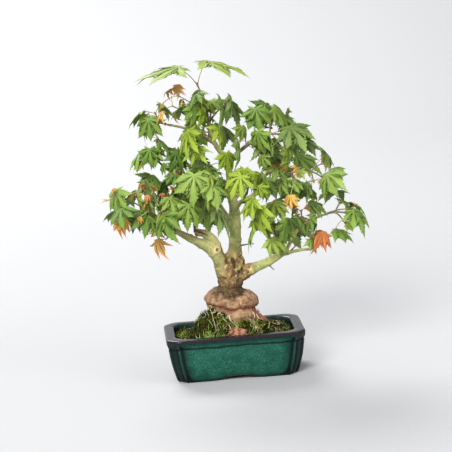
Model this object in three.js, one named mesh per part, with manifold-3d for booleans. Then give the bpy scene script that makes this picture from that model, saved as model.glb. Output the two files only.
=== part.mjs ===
// A potted Japanese maple kept small as a bonsai. A glazed stoneware pot with cut corners holds mossy
// soil. From it rises a short, thick trunk, swollen where it was grafted and forked above its neck.
// Each bough ends in masses of foliage: shoots in opposite pairs, with a pair of leaves on every tip.
//
// Millimetres, +Z up, +X right, +Y back. Places are measured from the ground under the middle of the
// pot, and the whole is then moved so that the origin lies under the middle of pot and crown together.
import * as THREE from "three";
import { mergeVertices } from "three/addons/utils/BufferGeometryUtils.js";
import Module from "manifold-3d";

const wasm = await Module();
wasm.setup();

const UP = new THREE.Vector3(0, 0, 1);
const CLEARANCE = 0.3;
const SLIVER = 0.004;
const CROWN_MIDDLE = { x: 8.3, y: 7 };

const POT = {
  width: 133,
  depth: 84,
  height: 43.5,
  corner: 9.5,
  cornerShrink: 0.16,
  taper: 6.2,
  wall: 6,
  floor: 8.5,
  lip: 8.5,
  bandHeight: 8,
  bandStep: 1,
  edge: 0.9,
  groove: 0.8,
  ribPitch: 2.2,
  footHeight: 4,
  footWidth: 7,
  holeRadius: 6,
  holeSpread: 27,
};
const ARCHES = { front: 54, side: 26, rise: 3.2 };

const SOIL = {
  edgeLevel: 37,
  centreLevel: 46,
  mossHeap: { x: -17, y: -20, height: 20, spread: 14 },
  roughness: 0.7,
  slope: 2.2,
  edgeSlope: 6,
  sectors: 28,
  shares: [0.93, 0.8, 0.66, 0.52, 0.38, 0.2],
};
const PEBBLE = { at: [2, -28.6, 43.4], size: [7.5, 3.1, 4.8], dents: 0.09 };

// The trunk, from its flat cut on the soil to the fork: height, middle of the section, half width.
const TRUNK_SECTIONS = [
  { z: 44, x: 1, radius: 28.5 },
  { z: 49, x: 0.5, radius: 27.5 },
  { z: 54, x: 0, radius: 26 },
  { z: 60, x: 0, radius: 24 },
  { z: 64, x: 0, radius: 26 },
  { z: 70, x: -0.5, radius: 26.4 },
  { z: 76, x: -1, radius: 25.6 },
  { z: 81, x: -1, radius: 21 },
  { z: 84, x: -0.5, radius: 13.8 },
  { z: 90, x: 0, radius: 12.2 },
  { z: 97, x: 1, radius: 12.8 },
  { z: 104, x: 2, radius: 13.4 },
  { z: 109, x: 3, radius: 11.8 },
  { z: 112, x: 4, radius: 9 },
];
const TRUNK_Y = 2;
const TRUNK_DEPTH = 0.9;
const TRUNK_SIDES = 22;
// Swellings on the trunk: the lower lobe of the graft, and the roots where they spread into the soil.
const SWELLINGS = [
  { angle: -58, z: 53, rise: 5.5, width: 26, height: 5 },
  { angle: -8, z: 45, rise: 6, width: 16, height: 7 },
  { angle: -150, z: 46, rise: 5, width: 20, height: 8 },
  { angle: 160, z: 45, rise: 4.5, width: 15, height: 6 },
  { angle: 105, z: 45, rise: 6, width: 18, height: 7 },
  { angle: 45, z: 46, rise: 5, width: 17, height: 8 },
  { angle: 20, z: 68, rise: 1.5, width: 35, height: 7 },
];

const BOUGH = { step: 10, thick: 3, thickSides: 9, thinSides: 5 };
// Boughs, each one tapering limb: where it runs, and its radius at the root and at the tip.
const BOUGHS = {
  leader: {
    points: [[4, 2, 110], [4, 2, 133], [6, 3, 156], [6, 3, 179], [6, 2, 204]],
    radius: [6.6, 3],
  },
  left_bough: {
    points: [
      [-5, -1, 97], [-10, -5, 114], [-20, -9, 126], [-31, -12, 133], [-42, -15, 140], [-54, -18, 149],
      [-66, -20, 160],
    ],
    radius: [7.2, 2],
  },
  left_stub: {
    points: [[-10, -5, 118], [-14, -7, 131], [-22, -9, 139], [-31, -9, 141]],
    radius: [5.4, 3.6],
  },
  right_bough: {
    points: [[9, 0, 95], [26, -4, 102], [38, -8, 107], [49, -10, 113], [56, -12, 119]],
    radius: [5.6, 2.4],
  },
  leader_top: {
    points: [[6, 2, 204], [-2, 0, 215], [-7, 0, 225], [-10, 0, 238], [-11, 0, 250]],
    radius: [2.5, 1.3],
  },
  upper_right_bough: {
    points: [[6, 2, 204], [18, 4, 214], [31, 6, 222], [44, 6, 228]],
    radius: [2.3, 1.4],
  },
  right_low_twig: {
    points: [[48, -10, 112], [64, -12, 116], [80, -14, 117]],
    radius: [1.9, 1.2],
  },
  right_rising_twig: {
    points: [[55, -12, 118], [65, -8, 133], [79, -6, 143], [94, -6, 148]],
    radius: [1.9, 1.2],
  },
  middle_right_bough: {
    points: [[6, 3, 160], [37, 12, 173], [58, 14, 183], [75, 12, 192]],
    radius: [2.3, 1.3],
  },
  middle_left_bough: {
    points: [[6, 3, 176], [-15, 8, 186], [-37, 10, 193], [-54, 8, 201]],
    radius: [2.3, 1.3],
  },
  upper_left_twig: {
    points: [[-7, 0, 223], [-20, -2, 233], [-36, -4, 241], [-51, -4, 245]],
    radius: [1.6, 1.1],
  },
  front_twig: {
    points: [[6, 3, 152], [12, -20, 166], [18, -36, 178]],
    radius: [1.9, 1.2],
  },
  front_left_twig: {
    points: [[5, 2, 148], [-8, -14, 168], [-20, -24, 180]],
    radius: [1.7, 1.1],
  },
  back_low_bough: {
    points: [[4, 2, 138], [0, 18, 152], [-4, 32, 160], [-6, 42, 164]],
    radius: [2.6, 1.4],
  },
  back_right_bough: {
    points: [[6, 3, 166], [26, 22, 178], [46, 34, 186]],
    radius: [2.2, 1.3],
  },
  back_left_bough: {
    points: [[-46, -16, 142], [-56, 2, 154], [-62, 22, 164]],
    radius: [2.2, 1.3],
  },
  back_high_bough: {
    points: [[6, 2, 196], [4, 16, 208], [-2, 28, 216]],
    radius: [2.1, 1.2],
  },
};

// Masses of foliage. Each leaves a bough at a share of its length (1 is the tip) and reaches out by an
// offset. It has a number of nodes with side shoots, a leaf length, the droop of its blades and the turn
// of its first pair of leaves in degrees, a leaf colour and a seed. Some have their own rise (up) or
// length (stalk) of the leaf stalks, or their own hollow (cup) of the blades.
const MASSES = {
  apex: {
    on: "leader_top", at: 1, reach: [-8, 0, 30],
    nodes: 0, leaf: 46, droop: 8, turn: 90, tint: "light", up: 0.9, stalk: 0.45, cup: 0.05, seed: 15413,
  },
  top_young: {
    on: "leader_top", at: 0.88, reach: [-25, 4, 17],
    nodes: 0, leaf: 16, droop: 60, turn: 90, tint: "bronze", cup: 0.7, seed: 5,
  },
  left_tip_young: {
    on: "left_bough", at: 0.92, reach: [-38, -14, 6],
    nodes: 0, leaf: 17, droop: 60, turn: 0, tint: "bronze", cup: 0.6, seed: 1,
  },
  left_hanging: {
    on: "left_bough", at: 0.82, reach: [-12, -4, -3],
    nodes: 0, leaf: 17, droop: 75, turn: 60, tint: "bronze", cup: 0.5, seed: 1,
  },
  centre_top: {
    on: "leader", at: 0.97, reach: [-10, -24, 6],
    nodes: 0, leaf: 33, droop: 60, turn: 30, tint: "light", seed: 1,
  },
  right_low_tip: {
    on: "right_low_twig", at: 1, reach: [6, 0, 12],
    nodes: 0, leaf: 18, droop: 50, turn: 0, tint: "bronze", cup: 0.6, seed: 1,
  },
  right_inner_young: {
    on: "middle_right_bough", at: 0.72, reach: [-4, -10, 12],
    nodes: 0, leaf: 15, droop: 60, turn: 30, tint: "bronze", cup: 0.6, seed: 2,
  },
  upper_middle: {
    on: "upper_right_bough", at: 0.35, reach: [8, -22, 8],
    nodes: 0, leaf: 35, droop: 70, turn: 0, tint: "mid", seed: 1,
  },
  top_left: {
    on: "leader_top", at: 0.93, reach: [-15, -10, 12],
    nodes: 1, leaf: 28, droop: 55, turn: 0, tint: "mid", seed: 7,
  },
  top_right: {
    on: "leader_top", at: 0.85, reach: [14, -8, 16],
    nodes: 0, leaf: 34, droop: 60, turn: 0, tint: "mid", seed: 1,
  },
  top_back: {
    on: "leader_top", at: 0.75, reach: [4, 20, 16],
    nodes: 0, leaf: 32, droop: 50, turn: 0, tint: "mid", seed: 1,
  },
  upper_left: {
    on: "upper_left_twig", at: 1, reach: [-12, 0, 3],
    nodes: 1, leaf: 29, droop: 60, turn: 0, tint: "mid", seed: 1,
  },
  upper_left_front: {
    on: "upper_left_twig", at: 0.3, reach: [2, -22, 4],
    nodes: 0, leaf: 35, droop: 55, turn: 0, tint: "light", seed: 1,
  },
  left_shoulder: {
    on: "middle_left_bough", at: 0.8, reach: [-6, -10, 16],
    nodes: 0, leaf: 28, droop: 55, turn: 0, tint: "dark", seed: 1,
  },
  left_high: {
    on: "middle_left_bough", at: 1, reach: [-14, -2, 14],
    nodes: 0, leaf: 25, droop: 50, turn: 20, tint: "mid", seed: 1,
  },
  left_dense: {
    on: "middle_left_bough", at: 0.6, reach: [-10, -20, -2],
    nodes: 1, leaf: 29, droop: 45, turn: 0, tint: "dark", seed: 1,
  },
  left_dense_back: {
    on: "middle_left_bough", at: 0.4, reach: [-8, 22, 6],
    nodes: 0, leaf: 33, droop: 50, turn: 0, tint: "dark", seed: 1,
  },
  left_tip: {
    on: "left_bough", at: 1, reach: [-28, -2, 10],
    nodes: 1, leaf: 29, droop: 45, turn: 0, tint: "mid", stalk: 0.6, seed: 9,
  },
  left_middle: {
    on: "left_bough", at: 0.85, reach: [-6, -10, 22],
    nodes: 1, leaf: 29, droop: 50, turn: 10, tint: "mid", seed: 1,
  },
  left_low: {
    on: "left_bough", at: 0.75, reach: [-16, -18, 6],
    nodes: 0, leaf: 28, droop: 35, turn: 0, tint: "mid", seed: 7,
  },
  stub_shoot: {
    on: "left_stub", at: 1, reach: [-2, -8, 34],
    nodes: 1, leaf: 30, droop: 50, turn: 0, tint: "mid", seed: 1,
  },
  front_left: {
    on: "front_left_twig", at: 1, reach: [4, -12, 8],
    nodes: 1, leaf: 31, droop: 55, turn: 0, tint: "mid", seed: 6,
  },
  front_high: {
    on: "front_twig", at: 1, reach: [4, -8, 12],
    nodes: 1, leaf: 31, droop: 65, turn: 0, tint: "light", seed: 1,
  },
  front_low: {
    on: "front_twig", at: 0.6, reach: [20, -16, -4],
    nodes: 0, leaf: 30, droop: 60, turn: 0, tint: "light", seed: 1,
  },
  right_low: {
    on: "right_bough", at: 0.75, reach: [-6, -16, 27],
    nodes: 0, leaf: 35, droop: 55, turn: 0, tint: "mid", seed: 1,
  },
  right_low_back: {
    on: "right_bough", at: 0.6, reach: [6, 16, 26],
    nodes: 0, leaf: 31, droop: 50, turn: 0, tint: "mid", seed: 1,
  },
  right_yellow: {
    on: "right_bough", at: 0.8, reach: [2, -14, 16],
    nodes: 0, leaf: 19, droop: 50, turn: 30, tint: "light", seed: 1,
  },
  right_middle: {
    on: "right_rising_twig", at: 0.4, reach: [6, -12, 10],
    nodes: 1, leaf: 28, droop: 60, turn: 0, tint: "mid", seed: 1,
  },
  right_tip: {
    on: "right_rising_twig", at: 1, reach: [20, 0, 0],
    nodes: 1, leaf: 28, droop: 30, turn: 0, tint: "mid", seed: 2,
  },
  right_shoulder: {
    on: "middle_right_bough", at: 1, reach: [20, -4, -10],
    nodes: 1, leaf: 30, droop: 60, turn: 0, tint: "mid", seed: 11,
  },
  right_shoulder_low: {
    on: "middle_right_bough", at: 0.7, reach: [8, -14, -8],
    nodes: 0, leaf: 26, droop: 60, turn: 0, tint: "mid", seed: 1,
  },
  right_inner: {
    on: "middle_right_bough", at: 0.45, reach: [4, -20, 6],
    nodes: 1, leaf: 29, droop: 50, turn: 0, tint: "mid", seed: 7,
  },
  right_high: {
    on: "upper_right_bough", at: 0.97, reach: [6, -18, 2],
    nodes: 0, leaf: 42, droop: 55, turn: 0, tint: "mid", seed: 1,
  },
  right_top: {
    on: "upper_right_bough", at: 0.8, reach: [12, 10, 14],
    nodes: 1, leaf: 30, droop: 40, turn: 0, tint: "dark", seed: 3,
  },
  right_outer: {
    on: "upper_right_bough", at: 1, reach: [26, 6, -8],
    nodes: 1, leaf: 29, droop: 55, turn: 0, tint: "mid", seed: 3,
  },
  back_low: {
    on: "back_low_bough", at: 1, reach: [-8, 16, 8],
    nodes: 1, leaf: 31, droop: 50, turn: 0, tint: "mid", seed: 1,
  },
  back_right: {
    on: "back_right_bough", at: 1, reach: [16, 14, 8],
    nodes: 1, leaf: 31, droop: 50, turn: 0, tint: "mid", seed: 1,
  },
  back_left: {
    on: "back_left_bough", at: 1, reach: [-12, 16, 8],
    nodes: 1, leaf: 30, droop: 50, turn: 0, tint: "mid", seed: 2,
  },
  back_high: {
    on: "back_high_bough", at: 1, reach: [-4, 14, 10],
    nodes: 0, leaf: 33, droop: 50, turn: 0, tint: "mid", seed: 1,
  },
};

// The rule that all foliage follows: how shoots branch, how stalks leave them, and the leaf's own form.
const SHOOT = {
  arch: 0.12,
  firstNode: 0.5,
  lastNode: 0.8,
  jitter: 30,
  lean: { out: 0.8, along: 0.6, up: 0.1 },
  shortest: 11,
  sideShare: 0.5,
  sideSizes: [0.8, 1.2],
  sideLeaf: 0.86,
  startStep: 0.2,
  stemRadius: [1.2, 0.8],
  stemSteps: 3,
  sideRadius: 0.8,
  sideSteps: 1,
};
const STALK = {
  from: 0.97,
  share: 0.5,
  sizes: [0.75, 1.25],
  radius: 0.55,
  sunk: 0.5,
  bend: 2.5,
  jitter: 30,
  lean: { out: 0.85, along: 0.4, up: 0.3 },
};
const LEAF = {
  sizes: [0.82, 1.18],
  turns: 40,
  droops: 26,
  rolls: 44,
  thickness: 1.4,
  heel: 0.05,
  heelAngle: 165,
  shoulder: 0.56,
  notch: 0.4,
  notchFade: 0.6,
  notchDrop: -0.03,
  fold: -0.05,
  tipDrop: 0.1,
  cup: 0.25,
  outward: 0.4,
  tries: [
    { turn: 0, droop: 0, size: 1 },
    { turn: 30, droop: 0, size: 1 },
    { turn: -30, droop: 0, size: 1 },
    { turn: 0, droop: 20, size: 0.95 },
    { turn: 55, droop: 10, size: 0.95 },
    { turn: -55, droop: 10, size: 0.95 },
    { turn: 0, droop: -20, size: 0.85 },
    { turn: 80, droop: 0, size: 0.85 },
    { turn: -80, droop: 0, size: 0.85 },
  ],
};
// The lobes of a leaf, by angle from the middle one, with length and half width as shares of the leaf.
const LOBES = [
  { angle: -122, length: 0.36, width: 0 },
  { angle: -78, length: 0.7, width: 0 },
  { angle: -38, length: 0.92, width: 0.15 },
  { angle: 0, length: 1, width: 0.155 },
  { angle: 38, length: 0.92, width: 0.15 },
  { angle: 78, length: 0.7, width: 0 },
  { angle: 122, length: 0.36, width: 0 },
];

const LEAF_COLOURS = { mid: 0x5c9a3a, light: 0x8fb83e, dark: 0x35702c, bronze: 0xc07a3c };
const GLAZE = { color: 0x1f5a4a, roughness: 0.25 };
const MOSS = { color: 0x4c5a24, roughness: 1 };
const STONE = { color: 0x9a6a52, roughness: 0.9 };
const TRUNK_BARK = { color: 0x8d7350, roughness: 0.9 };
const BOUGH_BARK = { color: 0x9c9a62, roughness: 0.7 };

const degrees = (angle) => THREE.MathUtils.degToRad(angle);
const vector = (place) => new THREE.Vector3(...place);
const level = (v) => new THREE.Vector3(v.x, v.y, 0).normalize();

// Two ways to use a number drawn from 0 to 1: within a range, or to either side of zero.
const within = ([low, high], drawn) => low + (high - low) * drawn;
const aside = (width, drawn) => (drawn - 0.5) * width;

// Closed solids

// A solid from points and faces that share them.
function solidFrom(points, faces) {
  const mesh = new wasm.Mesh({
    numProp: 3,
    vertProperties: new Float32Array(points.flatMap((p) => [p.x, p.y, p.z])),
    triVerts: new Uint32Array(faces),
  });
  return new wasm.Manifold(mesh);
}

// A solid from one of three.js' closed geometries.
function solidOf(geometry) {
  const bare = geometry.clone();
  bare.deleteAttribute("normal");
  bare.deleteAttribute("uv");
  const merged = mergeVertices(bare, 1e-4);
  const mesh = new wasm.Mesh({
    numProp: 3,
    vertProperties: merged.attributes.position.array,
    triVerts: new Uint32Array(merged.index.array),
  });
  return new wasm.Manifold(mesh);
}

// A skin through rings of points, closed at both ends. Each ring runs counter-clockwise as seen from
// beyond the last one. Its end is a fan from its first point, or from its middle where it is wide.
function skin(rings) {
  const columns = rings[0].length;
  const points = rings.flat();
  const faces = [];
  for (let row = 0; row + 1 < rings.length; row++) {
    for (let column = 0; column < columns; column++) {
      const here = row * columns + column;
      const next = row * columns + ((column + 1) % columns);
      faces.push(here, next, next + columns, here, next + columns, here + columns);
    }
  }
  const top = (rings.length - 1) * columns;
  if (columns <= 4) {
    for (let column = 1; column + 1 < columns; column++) {
      faces.push(0, column + 1, column, top, top + column, top + column + 1);
    }
    return solidFrom(points, faces);
  }
  const middleOf = (ring) => ring.reduce((sum, p) => sum.add(p), new THREE.Vector3()).divideScalar(columns);
  const first = points.push(middleOf(rings[0])) - 1;
  const last = points.push(middleOf(rings.at(-1))) - 1;
  for (let column = 0; column < columns; column++) {
    const next = (column + 1) % columns;
    faces.push(first, next, column, last, top + column, top + next);
  }
  return solidFrom(points, faces);
}

// The largest closed body of a solid, with slivers and sealed hollows gone.
function soundBody(solid) {
  const bodies = solid.decompose().sort((a, b) => b.volume() - a.volume());
  return bodies[0].simplify(SLIVER);
}

// A round tapering tube along a curve. Its ring is turned from the axis that lies least along the curve.
function tube(curve, radiusAt, sides, steps, grow = 0) {
  const chord = curve.getPoint(1).sub(curve.getPoint(0)).normalize();
  const axes = [new THREE.Vector3(1, 0, 0), new THREE.Vector3(0, 1, 0), new THREE.Vector3(0, 0, 1)];
  const least = axes.sort((a, b) => Math.abs(a.dot(chord)) - Math.abs(b.dot(chord)))[0];
  const rings = [];
  for (let step = 0; step <= steps; step++) {
    const t = step / steps;
    const along = curve.getTangent(t);
    const across = new THREE.Vector3().crossVectors(least, along).normalize();
    const third = new THREE.Vector3().crossVectors(along, across);
    const radius = radiusAt(t) + grow;
    const middle = curve.getPoint(t);
    if (step === 0) middle.addScaledVector(along, -grow);
    if (step === steps) middle.addScaledVector(along, grow);
    rings.push(
      Array.from({ length: sides }, (_, side) => {
        const angle = (side / sides) * 2 * Math.PI;
        const out = across.clone().multiplyScalar(Math.cos(angle)).addScaledVector(third, Math.sin(angle));
        return middle.clone().addScaledVector(out, radius);
      }),
    );
  }
  return skin(rings);
}

// The pot

// The pot's eight-sided outline at one height, inset from the rim's own by a distance on every side.
function potOutline(z, inset) {
  const x = POT.width / 2 - inset;
  const y = POT.depth / 2 - inset;
  const cut = POT.corner - inset * POT.cornerShrink;
  const corners = [
    [x, cut - y], [x, y - cut], [x - cut, y], [cut - x, y],
    [-x, y - cut], [-x, cut - y], [cut - x, -y], [x - cut, -y],
  ];
  return corners.map(([cx, cy]) => new THREE.Vector3(cx, cy, z));
}

// The same outline with a rib on each of the eight upright edges, between two grooves.
function ribbedOutline(z, inset, groove) {
  const corners = potOutline(z, inset);
  return corners.flatMap((corner, i) => {
    const before = corners[(i + 7) % 8].clone().sub(corner).normalize();
    const after = corners[(i + 1) % 8].clone().sub(corner).normalize();
    const inBefore = new THREE.Vector3(before.y, -before.x, 0);
    const inAfter = new THREE.Vector3(-after.y, after.x, 0);
    return [
      corner.clone().addScaledVector(before, 2 * POT.ribPitch),
      corner.clone().addScaledVector(before, POT.ribPitch).addScaledVector(inBefore, groove),
      corner.clone(),
      corner.clone().addScaledVector(after, POT.ribPitch).addScaledVector(inAfter, groove),
      corner.clone().addScaledVector(after, 2 * POT.ribPitch),
    ];
  });
}

// How far the pot's outer wall lies inside the rim's outline at a height, before the band.
const wallInset = (z) => POT.bandStep + (POT.taper - POT.bandStep) * (1 - z / POT.height);

// How far the hollow's wall lies inside the rim's outline: the wall's thickness, and the lip above it.
function hollowInset(z) {
  const shoulder = POT.height - POT.bandHeight;
  const below = wallInset(Math.min(z, shoulder)) + POT.wall;
  const lip = POT.bandStep + POT.lip;
  return z <= shoulder ? below : THREE.MathUtils.mapLinear(z, shoulder, POT.height, below, lip);
}

// A wide shallow arch that lifts the foot ring between two feet, as a bar through the whole pot.
function footArch(width, length) {
  const half = width / 2;
  const shape = new THREE.Shape();
  shape.moveTo(-half, -1);
  shape.lineTo(half, -1);
  shape.lineTo(half, 0);
  shape.bezierCurveTo(half / 2, 0, half / 2, ARCHES.rise, 0, ARCHES.rise);
  shape.bezierCurveTo(-half / 2, ARCHES.rise, -half / 2, 0, -half, 0);
  shape.closePath();
  const bar = new THREE.ExtrudeGeometry(shape, { depth: length, bevelEnabled: false, curveSegments: 5 });
  return bar.translate(0, 0, -length / 2).rotateX(Math.PI / 2);
}

function makePot() {
  const band = POT.height - POT.bandHeight;
  const outer = skin([
    ribbedOutline(0, wallInset(0) + POT.edge, POT.groove),
    ribbedOutline(POT.edge, wallInset(POT.edge), POT.groove),
    ribbedOutline(band - POT.bandStep, wallInset(band), POT.groove),
    ribbedOutline(band, wallInset(band) - POT.bandStep, 0),
    ribbedOutline(POT.height - POT.edge, 0, 0),
    ribbedOutline(POT.height, POT.edge, 0),
  ]);
  const hollow = skin([
    potOutline(POT.floor, hollowInset(POT.floor)),
    potOutline(band, hollowInset(band)),
    potOutline(POT.height, hollowInset(POT.height)),
    potOutline(POT.height + 1, hollowInset(POT.height)),
  ]);
  const under = skin([
    potOutline(-1, wallInset(0) + POT.footWidth),
    potOutline(POT.footHeight, wallInset(0) + POT.footWidth),
  ]);
  const holes = [-1, 1].map((side) => {
    const hole = new THREE.CylinderGeometry(POT.holeRadius, POT.holeRadius, 3 * POT.floor, 16);
    return solidOf(hole.rotateX(Math.PI / 2).translate(side * POT.holeSpread, 0, 0));
  });
  const frontArch = solidOf(footArch(ARCHES.front, 2 * POT.depth));
  const sideArch = solidOf(footArch(ARCHES.side, 2 * POT.width).rotateZ(Math.PI / 2));
  return soundBody(wasm.Manifold.difference([outer, hollow, under, ...holes, frontArch, sideArch]));
}

// The trunk, the soil round it and the pebble on the soil

// The trunk's half width at a height of its profile and an angle round it, with its swellings.
function trunkRadius(section, angle) {
  return SWELLINGS.reduce((radius, swelling) => {
    const turned = ((((angle - swelling.angle) % 360) + 540) % 360) - 180;
    const apart = (turned / swelling.width) ** 2 + ((section.z - swelling.z) / swelling.height) ** 2;
    return radius + swelling.rise * Math.exp(-apart);
  }, section.radius);
}

function makeTrunk(grow = 0) {
  const rings = TRUNK_SECTIONS.map((section, row) => {
    const ends = { 0: -grow, [TRUNK_SECTIONS.length - 1]: grow };
    const z = section.z + (ends[row] ?? 0);
    return Array.from({ length: TRUNK_SIDES }, (_, side) => {
      const angle = (side / TRUNK_SIDES) * 360;
      const radius = trunkRadius(section, angle) + grow;
      const x = section.x + radius * Math.cos(degrees(angle));
      const y = TRUNK_Y + TRUNK_DEPTH * radius * Math.sin(degrees(angle));
      return new THREE.Vector3(x, y, z);
    });
  });
  return skin(rings);
}

// A lump on the soil: an icosahedron pulled to three sizes and dented by a few waves.
function makePebble(grow = 0) {
  const lump = new THREE.IcosahedronGeometry(1, 1);
  const place = lump.attributes.position;
  const point = new THREE.Vector3();
  for (let i = 0; i < place.count; i++) {
    point.fromBufferAttribute(place, i);
    const dent = 1 + PEBBLE.dents * Math.sin(5 * point.x + 1) * Math.cos(4 * point.y + 6 * point.z);
    point.multiplyScalar(dent).multiply(vector(PEBBLE.size).addScalar(grow)).add(vector(PEBBLE.at));
    place.setXYZ(i, point.x, point.y, point.z);
  }
  return solidOf(lump);
}

// The soil's level: it rises from the pot's wall to the trunk, with a heap of moss on the left of it.
function soilLevel(x, y, share) {
  const { edgeLevel, centreLevel, mossHeap, roughness, slope, edgeSlope } = SOIL;
  const apart = Math.hypot(x - mossHeap.x, y - mossHeap.y) / mossHeap.spread;
  const rough = roughness * Math.sin(0.61 * x + 0.8 * Math.sin(0.37 * y)) * Math.cos(0.53 * y);
  const rise = (centreLevel - edgeLevel) * (1 - share ** slope);
  const lumps = mossHeap.height * Math.exp(-apart * apart) + rough;
  return edgeLevel + rise + lumps * (1 - share ** edgeSlope);
}

// Where a ray from the middle, at an angle, crosses an eight-sided outline.
function outlineReach(outline, angle) {
  const ray = new THREE.Vector3(Math.cos(angle), Math.sin(angle), 0);
  const reaches = outline.map((corner, i) => {
    const side = outline[(i + 1) % outline.length].clone().sub(corner);
    const out = new THREE.Vector3(side.y, -side.x, 0).normalize();
    const facing = out.dot(ray);
    return facing > 1e-6 ? out.dot(corner.clone().setZ(0)) / facing : Infinity;
  });
  return Math.min(...reaches);
}

function makeSoil(cutters) {
  const angles = Array.from({ length: SOIL.sectors }, (_, i) => (i / SOIL.sectors) * 2 * Math.PI);
  const wallRing = (z) => {
    const outline = potOutline(z, hollowInset(z) + CLEARANCE);
    return angles.map((angle) => {
      const reach = outlineReach(outline, angle);
      return new THREE.Vector3(reach * Math.cos(angle), reach * Math.sin(angle), z);
    });
  };
  const edge = wallRing(SOIL.edgeLevel);
  const topRings = SOIL.shares.map((share) =>
    edge.map(({ x, y }) => new THREE.Vector3(x * share, y * share, soilLevel(x * share, y * share, share))),
  );
  const band = POT.height - POT.bandHeight;
  const ground = skin([wallRing(POT.floor + CLEARANCE), wallRing(band), edge, ...topRings]);
  return soundBody(wasm.Manifold.difference([ground, ...cutters]));
}

// Boughs

function boughCurve({ points }) {
  return new THREE.CatmullRomCurve3(points.map(vector), false, "catmullrom", 0.5);
}

function makeBough(bough, curve, grow = 0) {
  const sides = bough.radius[0] > BOUGH.thick ? BOUGH.thickSides : BOUGH.thinSides;
  const steps = Math.round(curve.getLength() / BOUGH.step);
  return tube(curve, (t) => within(bough.radius, t), sides, steps, grow);
}

// Foliage

// Numbers from 0 to 1 that follow from a seed alone.
function seeded(seed) {
  let state = seed;
  return () => {
    state = (state + 0x6d2b79f5) | 0;
    let mixed = Math.imul(state ^ (state >>> 15), 1 | state);
    mixed = (mixed + Math.imul(mixed ^ (mixed >>> 7), 61 | mixed)) ^ mixed;
    return ((mixed ^ (mixed >>> 14)) >>> 0) / 4294967296;
  };
}

// A shoot's curve, arched upwards between its two ends.
function shootCurve(base, tip) {
  const middle = base.clone().lerp(tip, 0.5).addScaledVector(UP, SHOOT.arch * base.distanceTo(tip));
  return new THREE.QuadraticBezierCurve3(base, middle, tip);
}

// The way that one of an opposite pair leaves a shoot: out, forwards and a little up.
function pairWay(curve, t, turn, lean) {
  const along = curve.getTangent(t);
  const flat = new THREE.Vector3().crossVectors(UP, along).normalize();
  const rise = new THREE.Vector3().crossVectors(along, flat);
  const out = flat.multiplyScalar(Math.cos(degrees(turn))).addScaledVector(rise, Math.sin(degrees(turn)));
  out.multiplyScalar(lean.out).addScaledVector(along, lean.along).addScaledVector(UP, lean.up);
  return out.normalize();
}

// The shoots of one mass: its stem, and opposite side shoots at each node along it.
function growShoots(mass, base, draw) {
  const stem = shootCurve(base, base.clone().add(vector(mass.reach)));
  const length = vector(mass.reach).length();
  const shoots = [{ curve: stem, turn: mass.turn, share: 1 }];
  for (let node = 0; node < mass.nodes; node++) {
    const t = SHOOT.firstNode + (node * (SHOOT.lastNode - SHOOT.firstNode)) / Math.max(1, mass.nodes - 1);
    for (const side of [0, 180]) {
      const turn = mass.turn + 90 * (node + 1) + side + aside(SHOOT.jitter, draw());
      const way = pairWay(stem, t, turn, SHOOT.lean);
      const reach = Math.max(SHOOT.shortest, SHOOT.sideShare * length) * within(SHOOT.sideSizes, draw());
      const root = stem.getPoint(t);
      const curve = shootCurve(root, root.clone().addScaledVector(way, reach));
      shoots.push({ curve, turn: turn + aside(SHOOT.jitter, draw()), share: SHOOT.sideLeaf });
    }
  }
  return shoots;
}

// The pair of leaves at the tip of a shoot: where each leaves it, its stalk's way and length, the turn,
// droop and roll of its blade, and its size.
function growPair(mass, shoot, draw) {
  return [0, 180].map((side) => {
    const lean = { ...STALK.lean, up: mass.up ?? STALK.lean.up };
    const way = pairWay(shoot.curve, 1, shoot.turn + side + aside(STALK.jitter, draw()), lean);
    const root = shoot.curve.getPoint(STALK.from);
    const size = mass.leaf * shoot.share * within(LEAF.sizes, draw());
    const stalk = size * (mass.stalk ?? STALK.share) * within(STALK.sizes, draw());
    const turn = aside(LEAF.turns, draw());
    const droop = mass.droop + aside(LEAF.droops, draw());
    const roll = aside(LEAF.rolls, draw());
    return { root, way, stalk, turn, droop, roll, size, cup: mass.cup ?? LEAF.cup };
  });
}

// The blade's axes: it points outwards from its stalk and from the trunk, then droops and rolls.
function bladeAxes(leaf, extra) {
  const joint = leaf.root.clone().addScaledVector(leaf.way, leaf.stalk);
  const out = level(level(leaf.way).addScaledVector(level(joint), LEAF.outward));
  out.applyAxisAngle(UP, degrees(leaf.turn + extra.turn));
  const droop = degrees(leaf.droop + extra.droop);
  const along = out.clone().multiplyScalar(Math.cos(droop)).addScaledVector(UP, -Math.sin(droop));
  const normal = out.clone().multiplyScalar(Math.sin(droop)).addScaledVector(UP, Math.cos(droop));
  normal.applyAxisAngle(along, degrees(leaf.roll));
  return { joint, along, normal, side: new THREE.Vector3().crossVectors(normal, along) };
}

// The blade's outline from one side of the stalk round to the other: for each lobe its tip, with a
// shoulder on both sides of a broad one, and a notch between neighbours. Each point has an angle, a
// distance as a share of the leaf, and a drop.
function bladeOutline() {
  const heel = { share: LEAF.heel, drop: 0 };
  const outline = [{ ...heel, angle: -LEAF.heelAngle }];
  LOBES.forEach((lobe, i) => {
    const reach = lobe.length * LEAF.shoulder;
    const aside = THREE.MathUtils.radToDeg(Math.atan2(lobe.width, reach));
    const shoulder = { share: Math.hypot(lobe.width, reach), drop: LEAF.fold };
    if (lobe.width) outline.push({ ...shoulder, angle: lobe.angle - aside });
    outline.push({ angle: lobe.angle, share: lobe.length, drop: LEAF.tipDrop * lobe.length });
    if (lobe.width) outline.push({ ...shoulder, angle: lobe.angle + aside });
    const next = LOBES[i + 1];
    if (next) {
      const share = LEAF.notch * Math.min(1, lobe.length + next.length - LEAF.notchFade);
      outline.push({ angle: (lobe.angle + next.angle) / 2, share, drop: LEAF.notchDrop });
    }
  });
  return [...outline, { ...heel, angle: LEAF.heelAngle }];
}

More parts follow.
